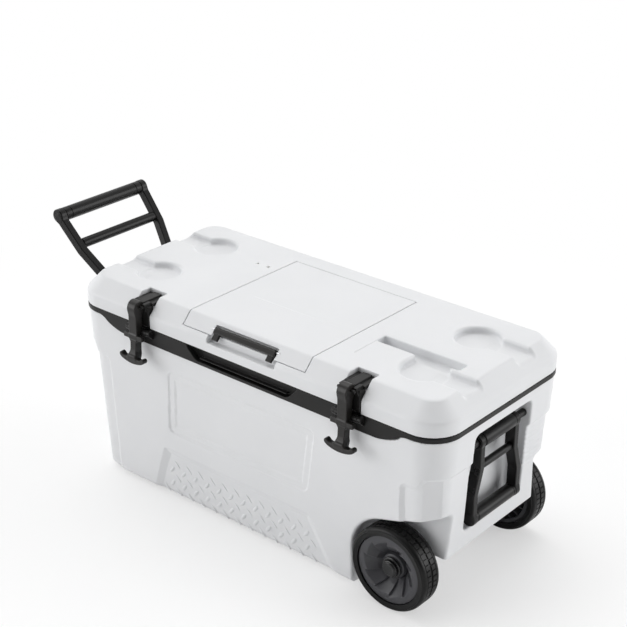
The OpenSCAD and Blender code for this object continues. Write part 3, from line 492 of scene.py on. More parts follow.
def floor_material():
    """Pale floor that keeps the cooler's shadow and fades to clear white further out."""
    made = bpy.data.materials.new("studio_floor")
    made.use_nodes = True
    tree = made.node_tree
    tree.nodes.remove(tree.nodes["Principled BSDF"])
    near, white = tree.nodes.new("ShaderNodeBsdfDiffuse"), tree.nodes.new("ShaderNodeEmission")
    near.inputs["Color"].default_value = (0.97, 0.97, 0.97, 1)
    place, length = tree.nodes.new("ShaderNodeTexCoord"), tree.nodes.new("ShaderNodeVectorMath")
    length.operation = "LENGTH"
    tree.links.new(place.outputs["Object"], length.inputs[0])
    fade = tree.nodes.new("ShaderNodeMapRange")
    fade.interpolation_type = "SMOOTHSTEP"
    fade.inputs["From Min"].default_value, fade.inputs["From Max"].default_value = 0.55, 1.5
    fade.inputs["To Min"].default_value = 0.5
    tree.links.new(length.outputs["Value"], fade.inputs["Value"])
    seen, both = tree.nodes.new("ShaderNodeLightPath"), tree.nodes.new("ShaderNodeMath")
    both.operation = "MULTIPLY"
    tree.links.new(fade.outputs["Result"], both.inputs[0])
    tree.links.new(seen.outputs["Is Camera Ray"], both.inputs[1])
    mix = tree.nodes.new("ShaderNodeMixShader")
    tree.links.new(both.outputs[0], mix.inputs[0])
    tree.links.new(near.outputs[0], mix.inputs[1])
    tree.links.new(white.outputs[0], mix.inputs[2])
    tree.links.new(mix.outputs[0], tree.nodes["Material Output"].inputs["Surface"])
    return made


side = 14.0
floor_mesh = mesh_of("studio_floor", [(-side, -side, 0), (side, -side, 0), (side, side, 0), (-side, side, 0)],
                     [(0, 1, 2, 3)])
floor_mesh.materials.append(floor_material())
floor = bpy.data.objects.new("studio_floor", floor_mesh)
bpy.context.scene.collection.objects.link(floor)


def soft_sun(name, towards, strength, spread):
    """A broad, soft lamp far off in one direction."""
    lamp = bpy.data.lights.new(name, "SUN")
    lamp.energy, lamp.angle = strength, math.radians(spread)
    holder = bpy.data.objects.new(name, lamp)
    holder.rotation_euler = Vector(towards).to_track_quat("Z", "Y").to_euler()
    bpy.context.scene.collection.objects.link(holder)


soft_sun("top_softbox", (-0.30, 0.10, 0.95), 0.98, 50)
soft_sun("left_softbox", (-0.64, -0.72, 0.25), 1.05, 40)
soft_sun("end_softbox", (0.80, 0.55, 0.25), 1.10, 40)

world = bpy.data.worlds.new("studio")
bpy.context.scene.world = world
world.use_nodes = True
sky = world.node_tree
ambient, backdrop = sky.nodes["Background"], sky.nodes.new("ShaderNodeBackground")
ambient.inputs["Color"].default_value = (1, 1, 1, 1)
backdrop.inputs["Color"].default_value, backdrop.inputs["Strength"].default_value = (1, 1, 1, 1), 1.0
# the room is dimmer towards the front right corner
way, facing, dim = (sky.nodes.new("ShaderNode" + kind) for kind in ("TexCoord", "VectorMath", "MapRange"))
facing.operation = "DOT_PRODUCT"
facing.inputs[1].default_value = (0.50, -0.70, 0.51)
dim.interpolation_type = "SMOOTHSTEP"
for label, value in (("From Min", -0.1), ("From Max", 0.85), ("To Min", 1.0), ("To Max", 0.22)):
    dim.inputs[label].default_value = value
sky.links.new(way.outputs["Generated"], facing.inputs[0])
sky.links.new(facing.outputs["Value"], dim.inputs["Value"])
sky.links.new(dim.outputs["Result"], ambient.inputs["Strength"])
path, plain, blend = (sky.nodes.new("ShaderNode" + kind) for kind in ("LightPath", "Math", "MixShader"))
plain.operation = "MAXIMUM"
sky.links.new(path.outputs["Is Camera Ray"], plain.inputs[0])
sky.links.new(path.outputs["Is Transmission Ray"], plain.inputs[1])
sky.links.new(plain.outputs[0], blend.inputs[0])
sky.links.new(ambient.outputs[0], blend.inputs[1])
sky.links.new(backdrop.outputs[0], blend.inputs[2])
sky.links.new(blend.outputs[0], sky.nodes["World Output"].inputs["Surface"])

lens = bpy.data.cameras.new("camera")
lens.lens, lens.sensor_width = 83.79, 36.0
lens.shift_x, lens.shift_y = -0.0015, 0.0838
lens.clip_start, lens.clip_end = 0.05, 60.0
camera = bpy.data.objects.new("camera", lens)
camera.location = (1.56853, -1.82857, 1.52553)
camera.rotation_euler = [math.radians(a) for a in (90 - 27.1933, 0, 40.489)]
bpy.context.scene.collection.objects.link(camera)
bpy.context.scene.camera = camera
bpy.context.scene.view_settings.view_transform = "Standard"


# ---------- tub ----------

PANEL = [(-201, 151), (146, 155), (168, 293), (-190, 288)]
TREAD = [(-271, -40), (232, -40), (146, 113), (-218, 113)]
APRON = [(-322, rim_z - 32), (322, rim_z - 32), (360, tub_z), (-360, tub_z)]
LUG_START, LUG_ACROSS, LUG_UP = (-207.1, 62.2), 31.1, 30.4
LUG_OVAL = (10.2, 4.2, 2.3, math.radians(52))     # half length, half width, height and lean
LUG_BAR = (11, 2.6, 1.9, math.radians(-47))
GRIP_ROOM = [(-108, rim_z - 26), (108, rim_z - 26), (132, rim_z - 3),
             (132, 420), (-132, 420), (-132, rim_z - 3)]
UNDER_RIM, STEP_DEPTH, CORNER_FLAT, RIB_DEPTH = 2, 5.4, 2.8, 0.9
STEP_X, STEP_Z = 350, 264                     # beyond this length and under this height the ends stand back
TREAD_R = 8
BASIN_IN, BASIN_SIDE, BASIN_R, FLOOR_Z = 58, 47, 28, 41
AXLE_FLOOR = (220, 142)                       # the floor is higher beyond this length, up to this height
WHEEL_HUMP = (206, 206, 106)                  # and higher still over each wheel: length, height and half width
AXLE_ROOM = (250, 106)                        # outside, the end is open from this length on, up to this height


def pocket_outline(half_top, half_bottom, low):
    """Outline of a handle pocket in an end wall, from its foot to a little under the rim."""
    return [(-half_bottom, low), (half_bottom, low), (half_top, pocket_top), (-half_top, pocket_top)]


RIGHT_POCKET, LEFT_POCKET = pocket_outline(84, 86, 142), pocket_outline(94, 128, 68)


def slope(value, low, high):
    """Straight change from 0 to 1 between two values, with crisp ends."""
    return np.clip((value - low)/(high - low), 0, 1)


def tread_depth(x, z):
    """The tread panel stands back behind a slanted border, deepest under its top edge."""
    edge = outline(x, z, TREAD, TREAD_R)
    deep = 4.6 + 1.9*slope(z, 8, 108)
    return deep*slope(-edge, 0, 15)


def end_step(ax, z):
    """1 on the lower ends and corners, which stand back, and 0 on the rest of the wall."""
    return slope(-common(STEP_X - ax, z - STEP_Z - 18*rise(ax, 380, 397), 14), -1, 7)


def tub_inset(x, y, z):
    """How far the tub's wall stands in from the rim's edge."""
    ax = np.abs(x)
    panel = -outline(x, z, PANEL, 14)
    front = 2.4*slope(panel, 0, 4) + 1.6*slope(panel, 15, 19) + tread_depth(x, z)
    ribs = rise(y, 79, 83)*(1 - rise(y, 138, 142))*rise(z, 186, 192)*(1 - rise(z, 268, 274))*(x > 300)
    ribs = ribs*(0.5 - 0.5*np.cos((z - 190)*2*np.pi/10))
    return UNDER_RIM + (tub_z - z)*draft + STEP_DEPTH*end_step(ax, z) + (y < 0)*front + RIB_DEPTH*ribs


def wheel_room(x, y, z):
    """Room over a wheel: a leaning arch that runs out through the end and the side."""
    s = np.abs(y) - arch_in
    inner = -s*math.cos(arch_lean) - (z - wheel_r)*math.sin(arch_lean)
    px, pz = x - wheel_x, (z - wheel_r)*math.cos(arch_lean) - s*math.sin(arch_lean)
    top = math.pi/2 + arch_rise
    line = px*math.cos(top) + pz*math.sin(top)
    on_arc = (pz >= 0) & (px*math.sin(top) - pz*math.cos(top) <= 0)
    profile = np.where(on_arc, np.hypot(px, pz), np.maximum(-px, line)) - arch_r
    return common(profile, inner, 10)


def basin(x, y, z):
    """Room inside the tub, with the floor raised over the wheels and the axle."""
    inset = (rim_z - z)*draft
    side = rounded_box(x, y, half_l - BASIN_IN - inset, half_w - BASIN_SIDE - inset, BASIN_R)
    room = common(side, FLOOR_Z - z, 14)
    room = cut(room, common(AXLE_FLOOR[0] - x, z - AXLE_FLOOR[1], 8), 9)
    hump = common(common(WHEEL_HUMP[0] - x, z - WHEEL_HUMP[1], 8), WHEEL_HUMP[2] - np.abs(y), 8)
    return cut(room, hump, 9)


def tub_body(x, y, z):
    """White tub wall with its base, wheel rooms, handle pockets and the seats of rim and liner."""
    inset = tub_inset(x, y, z)
    r = np.maximum(corner_r - inset, 12)
    body = rounded_box(x, y, half_l - inset, half_w - inset, r)
    corner = (np.abs(x) + np.abs(y) - half_l - half_w + 2*(inset + r))/math.sqrt(2) - r
    body = np.maximum(body, corner + CORNER_FLAT*end_step(np.abs(x), z))
    body = common(body, base_z - z, 15)
    pad = common(rounded_box(x + 84, y, 306, half_w - 50, 36), between(z, 0, base_z + 4), 2)
    body = joined(body, pad, 1.5)
    body = np.maximum(body, z - tub_z)
    body = cut(body, wheel_room(x, y, z), 5)
    body = cut(body, common(AXLE_ROOM[0] - x, z - AXLE_ROOM[1], 9), 4)
    body = cut(body, common(outline(y, z, RIGHT_POCKET, 12), pocket_x - x, 5), 3)
    body = cut(body, common(outline(y, z, LEFT_POCKET, 12), pocket_x + x, 5), 4)
    notch = common(between(z, pocket_top - 20, tub_z - 7), between(np.abs(y), 58, 90), 2)
    body = cut(body, common(notch, x + half_l - 26, 2), 2)
    body = cut(body, np.maximum(outline(x, z, APRON, 12) - 0.5, y + half_w - 6.3))
    body = cut(body, np.maximum(outline(x, z, GRIP_ROOM, 2) - 3.5, y + half_w - 16.5))
    return cut(body, basin(x, y, z) - liner_gap)


def lug(points, faces, x, z, half_x, half_z, high, lean, round_n=12, rings=4):
    """Adds one low dome to the tread, set on the tub's wall."""
    first = len(points)
    for ring in range(rings):
        out = math.cos(ring*math.pi/2/rings)
        up = high*math.sin(ring*math.pi/2/rings)
        for k in range(round_n):
            a = 2*math.pi*k/round_n
            u, v = half_x*out*math.cos(a), half_z*out*math.sin(a)
            points.append((x + u*math.cos(lean) - v*math.sin(lean), up,
                           z + u*math.sin(lean) + v*math.cos(lean)))
    points.append((x, high, z))
    for ring in range(rings - 1):
        for k in range(round_n):
            a, b = first + ring*round_n + k, first + ring*round_n + (k + 1) % round_n
            faces.append((a, b, b + round_n, a + round_n))
    top = first + (rings - 1)*round_n
    faces.extend((top + k, top + (k + 1) % round_n, len(points) - 1) for k in range(round_n))
    faces.append(tuple(first + k for k in reversed(range(round_n))))


def tread_lugs():
    """Tread plate: fat ovals leaning one way and thin bars leaning the other, in a staggered grid."""
    points, faces = [], []
    for row in range(-9, 4):
        for column in range(-2, 17):
            x, z = LUG_START[0] + (column + row % 2/2)*LUG_ACROSS, LUG_START[1] + row*LUG_UP/2
            border, shape = (24, LUG_BAR) if row % 2 else (23, LUG_OVAL)
            if outline(np.array([x]), np.array([z]), TREAD, TREAD_R)[0] <= -border and z >= 12:
                lug(points, faces, x, z, *shape)
    points = np.array(points)
    x, up, z = points.T
    inset = tub_inset(x, -1.0, z)
    points = np.stack([x, -(half_w - inset) - up + 0.6, z], 1)
    mesh = mesh_of("tread_lugs", points*MM, faces)
    smooth_all(mesh)
    mesh.set_sharp_from_angle(angle=math.radians(60))
    return add_piece("tread_lugs", mesh, "white_plastic", "root")


moulded("tub_moulding", tub_body, grid((-half_l, -half_w, 0), (half_l, half_w, tub_z), 3.0),
        "white_plastic", "root", ["tub_shell"], faces=90000)
tread_lugs()


# ---------- rim and inner box ----------

def rim_body(x, y, z):
    """Dark rim: a flat ring whose front drops into an apron, with a finger recess in the middle."""
    ring = common(rounded_box(x, y, half_l, half_w, corner_r), between(z, tub_z, rim_z), 1.6)
    face = joined(outline(x, z, APRON[:2] + [(366, rim_z - 4), (-366, rim_z - 4)], 14),
                  common(between(z, tub_z, rim_z), np.abs(x) - half_l + corner_r + 2), 7)
    front = common(face, between(y, -half_w, -half_w + 6), 1.6)
    room = outline(x, z, GRIP_ROOM, 5)
    pocket = common(common(room - 3, between(y, -half_w + 0.6, -half_w + 16), 2), z - rim_z)
    body = np.minimum(np.minimum(ring, front), pocket)
    body = cut(body, common(room, y + half_w - 13, 2.5), 1.4)
    ledge = block(x, y, z, (-104, -half_w + 4.5, rim_z - 22.4), (104, -half_w + 14, rim_z - 20.2), 0.9)
    body = joined(body, ledge, 0.6)
    return cut(body, basin(x, y, z) - liner_gap, 1.2)


def inner_box():
    """Black liner: the basin's own surface, given 3 mm of thickness outward."""
    xs, ys, zs = axes = [lines((-half_l + 50, half_l - 50, 4)), lines((-half_w + 40, half_w - 40, 4)),
                         lines((FLOOR_Z - 8, rim_z, 4))]
    points, quads = net(-basin(xs[:, None, None], ys[None, :, None], zs[None, None, :]), axes)
    points = settle(basin, points, 2, 2.0)
    points[points[:, 2] > rim_z - 4, 2] = rim_z - 0.1
    mesh = thinned("inner_box", points, quads, 26000)
    points = as_array(mesh)
    down = points[:, 2] < rim_z - 4
    points[down] = settle(basin, points[down], 1, 1.0)
    mesh.vertices.foreach_set("co", (points*MM).astype(np.float32).ravel())
    mesh.update()
    holder = bpy.data.objects.new("inner_box", mesh)
    bpy.context.scene.collection.objects.link(holder)
    wall = holder.modifiers.new("wall", "SOLIDIFY")
    wall.thickness, wall.offset = 2.8*MM, -1
    shown = holder.evaluated_get(bpy.context.evaluated_depsgraph_get())
    thick = bpy.data.meshes.new_from_object(shown)
    bpy.data.objects.remove(holder)
    smooth_all(thick)
    thick.set_sharp_from_angle(angle=math.radians(50))
    add_piece("inner_box", thick, "dark_plastic", "root", ["tub_liner"])


moulded("rim_moulding", rim_body,
        [lines((-half_l - 3, half_l + 3, 2)),
         lines((-half_w - 3, -half_w + 18, 1.0), (-half_w + 18, half_w + 3, 2.5)),
         lines((rim_z - 34, rim_z + 1.8, 1.1))],
        "dark_plastic", "root", ["rim_trim"], faces=60000)
inner_box()


# ---------- lid ----------

CUP_X, CUP_Y, CUP_R, CUP_D = 314, 78, 42, 13
SLOT = (187, 361, -46, -21)                   # the long slot: its ends in x and its sides in y
SLOT_D = 17
LATCH_ROOM = 22.5
HATCH_GAP = 1.4
PORT = (0, -14, 114, 104, 32)                 # opening under the hatch: centre, half sizes and corner radius
SCREW_HOLES = ((-195, 70), (-168, 70))


def lid_envelope(x, y, z):
    """Outer form of the lid: upright band, wide bevel and flat top, with soft creases."""
    side = rounded_box(x, y, half_l, half_w, corner_r)
    lean = math.hypot(1, bevel_slope)
    bevel = (z - lid_top + (side + lid_bevel)*bevel_slope)/lean
    body = common(common(side, bevel, 3.0), z - lid_top, 2.2)
    return common(body, lid_z - z, 1.2)


def port_room(x, y, grow):
    """The opening under the hatch, grown outward by some millimetres."""
    return rounded_box(x - PORT[0], y - PORT[1], PORT[2] + grow, PORT[3] + grow, PORT[4] + grow)


def cup_rooms(x, y, z):
    """Two cups at each end with grooves that run out over the end, and the long slot beside one of them."""
    ax, ay = np.abs(x), np.abs(y)
    floor_z = lid_top - CUP_D
    cups = np.hypot(ax - CUP_X, ay - CUP_Y) - CUP_R
    corner = common(between(x, CUP_X - CUP_R, CUP_X), between(y, -CUP_Y, SLOT[2] + 2))
    rooms = common(joined(cups, corner, 0.5), floor_z - z, 5)
    groove = common(np.abs(ay - CUP_Y) - 23, CUP_X + 15 - ax)
    rooms = joined(rooms, common(groove, floor_z + 1 - z, 5), 3)
    slot = rounded_box(x - (SLOT[0] + SLOT[1])/2, y - (SLOT[2] + SLOT[3])/2, (SLOT[1] - SLOT[0])/2,
                       (SLOT[3] - SLOT[2])/2, 4)
    return rooms, common(slot, lid_top - SLOT_D - z, 3)


def lid_body(x, y, z):
    """White lid: cups, slot, latch rooms, hatch well, port and the small holes beside it."""
    body = lid_envelope(x, y, z)
    rooms, slot = cup_rooms(x, y, z)
    body = cut(body, rooms, 5.5)
    body = cut(body, slot, 2.2)
    for e in (-1, 1):
        across = np.abs(x - e*latch_x) - LATCH_ROOM
        body = cut(body, common(common(across, y + half_w - 49, 3), lid_top - 14 - z), 1.3)
        body = cut(body, common(across, y + half_w - 13), 1.3)
    well = common(np.abs(x) - hatch_half - HATCH_GAP, y - hatch_back - 1.2, 1)
    body = cut(body, common(well, lid_top - 23 - z), 0.9)
    body = cut(body, np.maximum(np.hypot(y - hatch_back + 5.5, z - lid_top + 6) - 6.9,
                                np.abs(x) - hatch_half - HATCH_GAP))
    body = cut(body, common(common(np.abs(x) - 80, y + half_w - 14, 4), lid_top - 36.5 - z, 3), 1.8)
    body = cut(body, port_room(x, y, 0.0), 1)
    for hole_x, hole_y in SCREW_HOLES:
        from_hole = np.hypot(x - hole_x, y - hole_y)
        body = cut(body, common(from_hole - 2.5, lid_top - 4 - z), 0.4)
        body = cut(body, np.hypot(from_hole - 4.6, z - lid_top) - 0.5)
    scribe = np.hypot(x - 187.5, z - lid_top) - 0.9
    body = cut(body, common(scribe, between(y, -107, SLOT[2])), 0.2)
    return cut(body, common(rounded_box(x, y, half_l - 3.4, half_w - 3.4, corner_r - 3.4), z - lid_z - 3.4))


def liner_body(x, y, z):
    """White inner face of the lid: a flange and a plug with trays for the ice packs."""
    flange = rounded_box(x, y, half_l - 3.7, half_w - 3.7, corner_r - 3.7)
    flange = common(flange, between(z, lid_z, lid_z + 3.2), 0.8)
    plug = common(rounded_box(x, y, half_l - 62, half_w - 51, 24), between(z, lid_z - 12, lid_z + 3), 4)
    body = joined(flange, plug, 1.5)
    tray = rounded_box(np.abs(x) - 232, y, 87, 120.5, 14)
    body = cut(body, common(tray, z - lid_z + 6, 2.5), 2.5)
    rib = common(rounded_box(x, y, half_l - 76, half_w - 65, 18),
                 -rounded_box(x, y, half_l - 80, half_w - 69, 15))
    body = cut(body, common(rib, z - lid_z + 10.6), 0.8)
    for e in (-1, 1):
        body = cut(body, common(np.abs(x - e*latch_x) - 26.2, y + half_w - 16.7))
    groove = common(rounded_box(x, y, half_l - 46, half_w - 35, 40),
                    -rounded_box(x, y, half_l - 53, half_w - 42, 33))
    body = cut(body, common(groove, z - lid_z - 2))
    return cut(body, port_room(x, y, 3.7), 0.8)


moulded("lid_moulding", lid_body,
        [lines((-half_l - 3, -204, 2), (-204, -160, 1), (-160, 180, 2), (180, 192, 0.8), (192, half_l + 3, 2)),
         lines((-half_w - 3, half_w + 3, 1.8)), lines((lid_z - 1.6, lid_top + 1.8, 1.5))],
        "white_plastic", "lid", ["lid_shell"], faces=110000)
moulded("lid_inner_face", liner_body,
        [lines((-half_l, half_l, 2.5)), lines((-half_w, half_w, 2.5)), lines((lid_z - 14, lid_z + 5, 1.2))],
        "white_plastic", "lid", ["lid_liner"], faces=40000)


def framed(name, profile, slot_name, body, stands_for, centre=PORT[:2], half=PORT[2:4], r=PORT[4], step=9):
    """A ring round a rounded rectangle; the closed profile is (distance outward, height)."""
    rings = []
    for out, z in profile:
        ring = []
        for sx, sy, turn in ((1, 1, 0), (-1, 1, 90), (-1, -1, 180), (1, -1, 270)):
            for k in range(step + 1):
                a = math.radians(turn + 90*k/step)
                ring.append((centre[0] + sx*(half[0] - r) + (r + out)*math.cos(a),
                             centre[1] + sy*(half[1] - r) + (r + out)*math.sin(a), z))
        rings.append(ring)
    count = len(rings[0])
    points = np.array(rings).reshape(-1, 3)
    faces = [(i*count + k, i*count + (k + 1) % count, (i + 1) % len(rings)*count + (k + 1) % count,
              (i + 1) % len(rings)*count + k) for i in range(len(rings)) for k in range(count)]
    mesh = mesh_of(name, points*MM, faces)
    smooth_all(mesh)
    mesh.set_sharp_from_angle(angle=math.radians(35))
    return add_piece(name, mesh, slot_name, body, stands_for)


plug_z = lid_z - 12                           # lower face of the liner's plug
ledge_z = lid_top - 23                        # the ledge on which the hatch lies
framed("port_surround", [(3.2, lid_z - 0.4), (-0.4, lid_z - 0.4), (-0.4, ledge_z - 3.4), (-0.9, ledge_z - 3),
                         (-1.7, ledge_z - 3), (-2.2, ledge_z - 3.6), (-2.2, plug_z + 0.8), (-1.4, plug_z),
                         (2.4, plug_z), (3.2, plug_z + 0.8)], "dark_plastic", "lid", ["port_collar"])
HATCH_SEAL = [(10.8, ledge_z + 1.2), (9.4, ledge_z + 0.4), (7.4, ledge_z + 0.9), (5.6, ledge_z + 0.4),
              (4.2, ledge_z + 1.2), (4.2, ledge_z + 3.2), (10.8, ledge_z + 3.2)]
framed("hatch_seal", HATCH_SEAL, "seal_rubber", "hatch", ["hatch_gasket"])
LID_SEAL = [(15.4, lid_z + 1.5), (15.4, lid_z - 0.1), (14.2, lid_z - 0.7), (12.5, lid_z - 0.4),
            (10.8, lid_z - 0.7), (9.6, lid_z - 0.1), (9.6, lid_z + 1.5)]
framed("lid_seal", LID_SEAL, "seal_rubber", "lid", ["lid_gasket"], (0, 0), (half_l - 62, half_w - 51), 24)


# ---------- hatch ----------

bevel_turn = math.atan(bevel_slope)


def on_slope(y, z):
    """Distances down the bevel from its top crease and out from its face."""
    dy, dz = y + top_y, z - lid_top
    return (dy*math.cos(bevel_turn) + dz*math.sin(bevel_turn),
            dz*math.cos(bevel_turn) - dy*math.sin(bevel_turn))


def hatch_body(x, y, z):
    """White hatch: the lid's own form between its side edges, with the latch's room and a bare sunk plate."""
    side = common(np.abs(x) - hatch_half + 0.1, y - hatch_back, 2.5)
    body = common(lid_envelope(x, y, z), side, 1.1)
    along, out = on_slope(y, z)
    room = common(common(np.abs(x) - 73.6, along + 9, 2), -7 - out, 2)
    body = cut(body, room, 1.0)
    bare = rounded_box(x - 4, y + 17.5, 101, 30.5, 2.5)
    body = cut(body, common(bare, lid_top - 0.25 - z, 0.1), 0.1)
    body = np.maximum(body, lid_top - 22 - z)
    return cut(body, common(rounded_box(x, y + 18, hatch_half - 3.4, 138.2, 4), z - lid_top + 18.2))


def hatch_plug(x, y, z):
    """White underside of the hatch: a plate and a shallow plug with a dished face."""
    plate = rounded_box(x, y + 17.7, hatch_half - 3.7, 137.9, 5)
    plate = common(plate, between(z, lid_top - 21.5, lid_top - 18), 0.8)
    plug = common(port_room(x, y, -5), between(z, lid_top - 42, lid_top - 20), 3.5)
    plug = cut(plug, common(port_room(x, y, -22), z - lid_top + 39.5, 2.0), 2.0)
    body = joined(plate, plug, 1.2)
    return cut(body, common(common(port_room(x, y, 11.1), -port_room(x, y, 3.9)), z - lid_top + 19.6))


moulded("hatch_moulding", hatch_body,
        [lines((-hatch_half - 3, hatch_half + 3, 1.8)), lines((-half_w + 2, hatch_back + 3, 1.5)),
         lines((lid_top - 23.8, lid_top + 1.6, 1.2))],
        "white_plastic", "hatch", ["hatch_shell"], faces=40000)
moulded("hatch_inner_face", hatch_plug,
        grid((-hatch_half + 3, -156, lid_top - 42), (hatch_half - 3, 121, lid_top - 18), 2.0),
        "white_plastic", "hatch", ["hatch_liner"], faces=26000)


def latch_bar(x, y, z):
    """Dark bar on the hatch's slope, with a pull edge along its lower side and two short legs."""
    along, out = on_slope(y, z)
    bar = common(common(between(along, -25.5, -13), np.abs(x) - 72, 1.2), between(out, -4.4, 3.4), 1.2)
    edge = common(common(between(along, -16, -13.2), np.abs(x) - 71, 0.8), between(out, 2, 4.2), 0.8)
    bar = joined(bar, edge, 0.4)
    legs = common(common(between(np.abs(x), 57, 70.5), between(along, -37, -20)), between(out, -4.4, 0.4), 1.0)
    return joined(bar, legs, 0.8)


moulded("hatch_latch_bar", latch_bar,
        [lines((-75, 75, 1.0)), lines((-half_w - 4, -top_y - 4, 0.9)),
         lines((lid_top - 34, lid_top - 3, 0.9))],
        "latch_rubber", "hatch_latch", ["hatch_latch"], faces=22000)


# ---------- lid latches and their keepers ----------

PIN_OUT, PIN_DOWN = 10, 10                    # the strap's pin, outward of the wall and under the lid's top
PEG_OUT, PEG_DOWN = 6.5, 6                    # the pegs, outward of the wall and under the rim's top
PEG_FROM, PEG_TO, PEG_R = 10.6, 23, 6         # a peg's two ends beside the strap, and its radius
SEAT_HALF, TONGUE_HALF, CHEEK_IN, CHEEK_OUT = 22, 9.6, 10.6, 18.5
STRAP_HALF, BARREL_R = 10, 10


def latch_strap(x, y, z):
    """Rubber strap: it bends over the lid's edge, passes between the pegs and ends in an anchor pull."""
    u, out, up = np.abs(x), -half_w - y, z - rim_z
    barrel = np.hypot(out - PIN_OUT, z - lid_top + PIN_DOWN) - BARREL_R
    bend = np.hypot(out - 9.6, z - lid_top + 12) - 12
    arm = strip(out, up, [(13.8, 39), (14.2, -11), (16.2, -41), (20.6, -55)], 7.8)
    side = joined(joined(barrel, bend, 3), arm, 9)
    width = STRAP_HALF - 2.6*rise(-up, 20, 26) + 2.8*rise(-up, 41, 51)
    body = common(side, u - width, 1.3)
    bar = block(x, out, up, (-24, 14.5, -18.8), (24, 23.3, -9.4), 1.6)
    body = joined(body, bar, 3.0)
    anchor = outline(u, up, [(-20, -66.8), (9, -66.8), (27, -61.8), (32.7, -56.5), (31.4, -50.2),
                             (-20, -50.2)], 3)
    anchor = cut(anchor, np.hypot(u - 17.2, up + 45.5) - 9.6, 2)
    pull = common(anchor, between(out, 18.4, 29.6), 2.0)
    return joined(body, pull, 4.0)


def latch_seat(x, y, z):
    """Dark seat in the lid: a tongue in the recess, a front plate and a low cheek each side of the strap."""
    u, out, down = np.abs(x), -half_w - y, lid_top - z
    from_pin = np.hypot(out - PIN_OUT, down - PIN_DOWN)
    deck = common(common(between(out, -48.4, -11), u - SEAT_HALF), between(down, 7.5, 13.4), 1.0)
    tongue = common(common(u - TONGUE_HALF, between(out, -46.5, -0.6), 1.0), between(down, 4.1, 13.4), 1.2)
    plate = common(common(u - SEAT_HALF, between(out, -12.5, 1), 1.0), between(down, 12, 51.9), 1.4)
    cheek = outline(out, down, [(13, 14), (9.5, 18), (1, 22), (-2, 30), (-12.5, 34),
                                (-12.5, 5.4), (6, 5.4), (13, 8.5)], 1.4)
    cheeks = common(cheek, between(u, CHEEK_IN, CHEEK_OUT), 0.8)
    body = joined(joined(deck, plate, 1.0), cheeks, 0.8)
    for notch_out in range(8, -17, -4):
        notch = np.maximum(between(x, -17, -10.5), down - 8.2 + 2*(out > -11))
        body = cut(body, common(np.abs(out - notch_out) - 0.9, notch), 0.3)
    body = joined(body, tongue, 0.5)
    strap_room = u - STRAP_HALF - 0.5
    body = cut(body, np.maximum(np.maximum(strap_room, 1.0 - out), from_pin - BARREL_R - 0.8), 0.3)
    return cut(body, np.maximum(strap_room, from_pin - BARREL_R - 0.5))


def keeper_pegs(x, y, z):
    """Two short ribbed pegs, each on an ear that stands on the rim's apron."""
    u, out, down = np.abs(x), -half_w - y, rim_z - z
    from_axis = np.hypot(out - PEG_OUT, down - PEG_DOWN)
    radius = PEG_R - 0.9*rise(-np.abs(u - 16), -1.1, -0.4)
    peg = common(from_axis - radius, between(u, PEG_FROM, PEG_TO), 0.9)
    ear = outline(out, down, [(12.5, 6), (7, 13), (0, 20), (0, 0), (8.5, 0)], 2.5)
    ear = joined(common(ear, between(u, 25, 31), 0.9), common(from_axis - 5.4, between(u, 21, 31), 0.9), 1)
    ear = cut(ear, common(from_axis - 3.2, 30.2 - u), 0.3)
    return joined(peg, ear, 0.8)


for sign, name in SIDES:
    here = Matrix.Translation((sign*latch_x, 0, 0))
    moulded("latch_strap_" + name, latch_strap,
            [lines((-35, -26, 1), (-26, 26, 0.9), (26, 35, 1)), lines((-half_w - 31, -half_w + 2, 0.9)),
             lines((rim_z - 68.5, lid_top + 1.5, 1.0))],
            "latch_rubber", "latch_" + name, ["latch_" + name], faces=16000, place=here)
    moulded("latch_seat_" + name, latch_seat,
            [lines((-23.5, 23.5, 0.95)), lines((-half_w - 20.5, -half_w + 50, 1.0)),
             lines((rim_z + 1.5, lid_top - 2.5, 1.0))],
            "dark_plastic", "lid", ["latch_mount_" + name], faces=14000, place=here)
    moulded("keeper_pegs_" + name, keeper_pegs,
            [lines((-32.5, -9, 0.7), (-9, 9, 3), (9, 32.5, 0.7)), lines((-half_w - 14, -half_w + 1.5, 0.7)),
             lines((rim_z - 21.5, rim_z + 1.5, 0.7))],
            "dark_plastic", "root", ["keeper_" + name], faces=8000, place=here)
    pin_axis = Vector((sign*latch_x, -half_w - PIN_OUT, lid_top - PIN_DOWN))
    pin_place = Matrix.Translation(pin_axis) @ Matrix.Rotation(math.pi/2, 4, "Y")
    pin = [(0.01, 18.3), (2.1, 18.3), (2.5, 17.9), (2.5, -17.9), (2.1, -18.3), (0.01, -18.3)]
    turned("latch_hinge_pin_" + name, *even(pin, 24), "dark_plastic", "lid",
           ["latch_pins"] if sign < 0 else [], pin_place)


# ---------- wheels ----------

HUB_OUT = tyre_out - 14
HUB_IN, HUB_BORE = 139, 6.1
TYRE_SEAT = 65                                # radius at which the tyre sits on the wheel
BLADES, BLADE_LIFT = 10, 6.0
BLADE_FROM, BLADE_TO = 24.6, 55.5             # radii between which the blades run
spin_axis = {-1: Matrix.Translation((wheel_x, 0, wheel_r)) @ Matrix.Rotation(math.pi/2, 4, "X"),
             1: Matrix.Translation((wheel_x, 0, wheel_r)) @ Matrix.Rotation(-math.pi/2, 4, "X")}


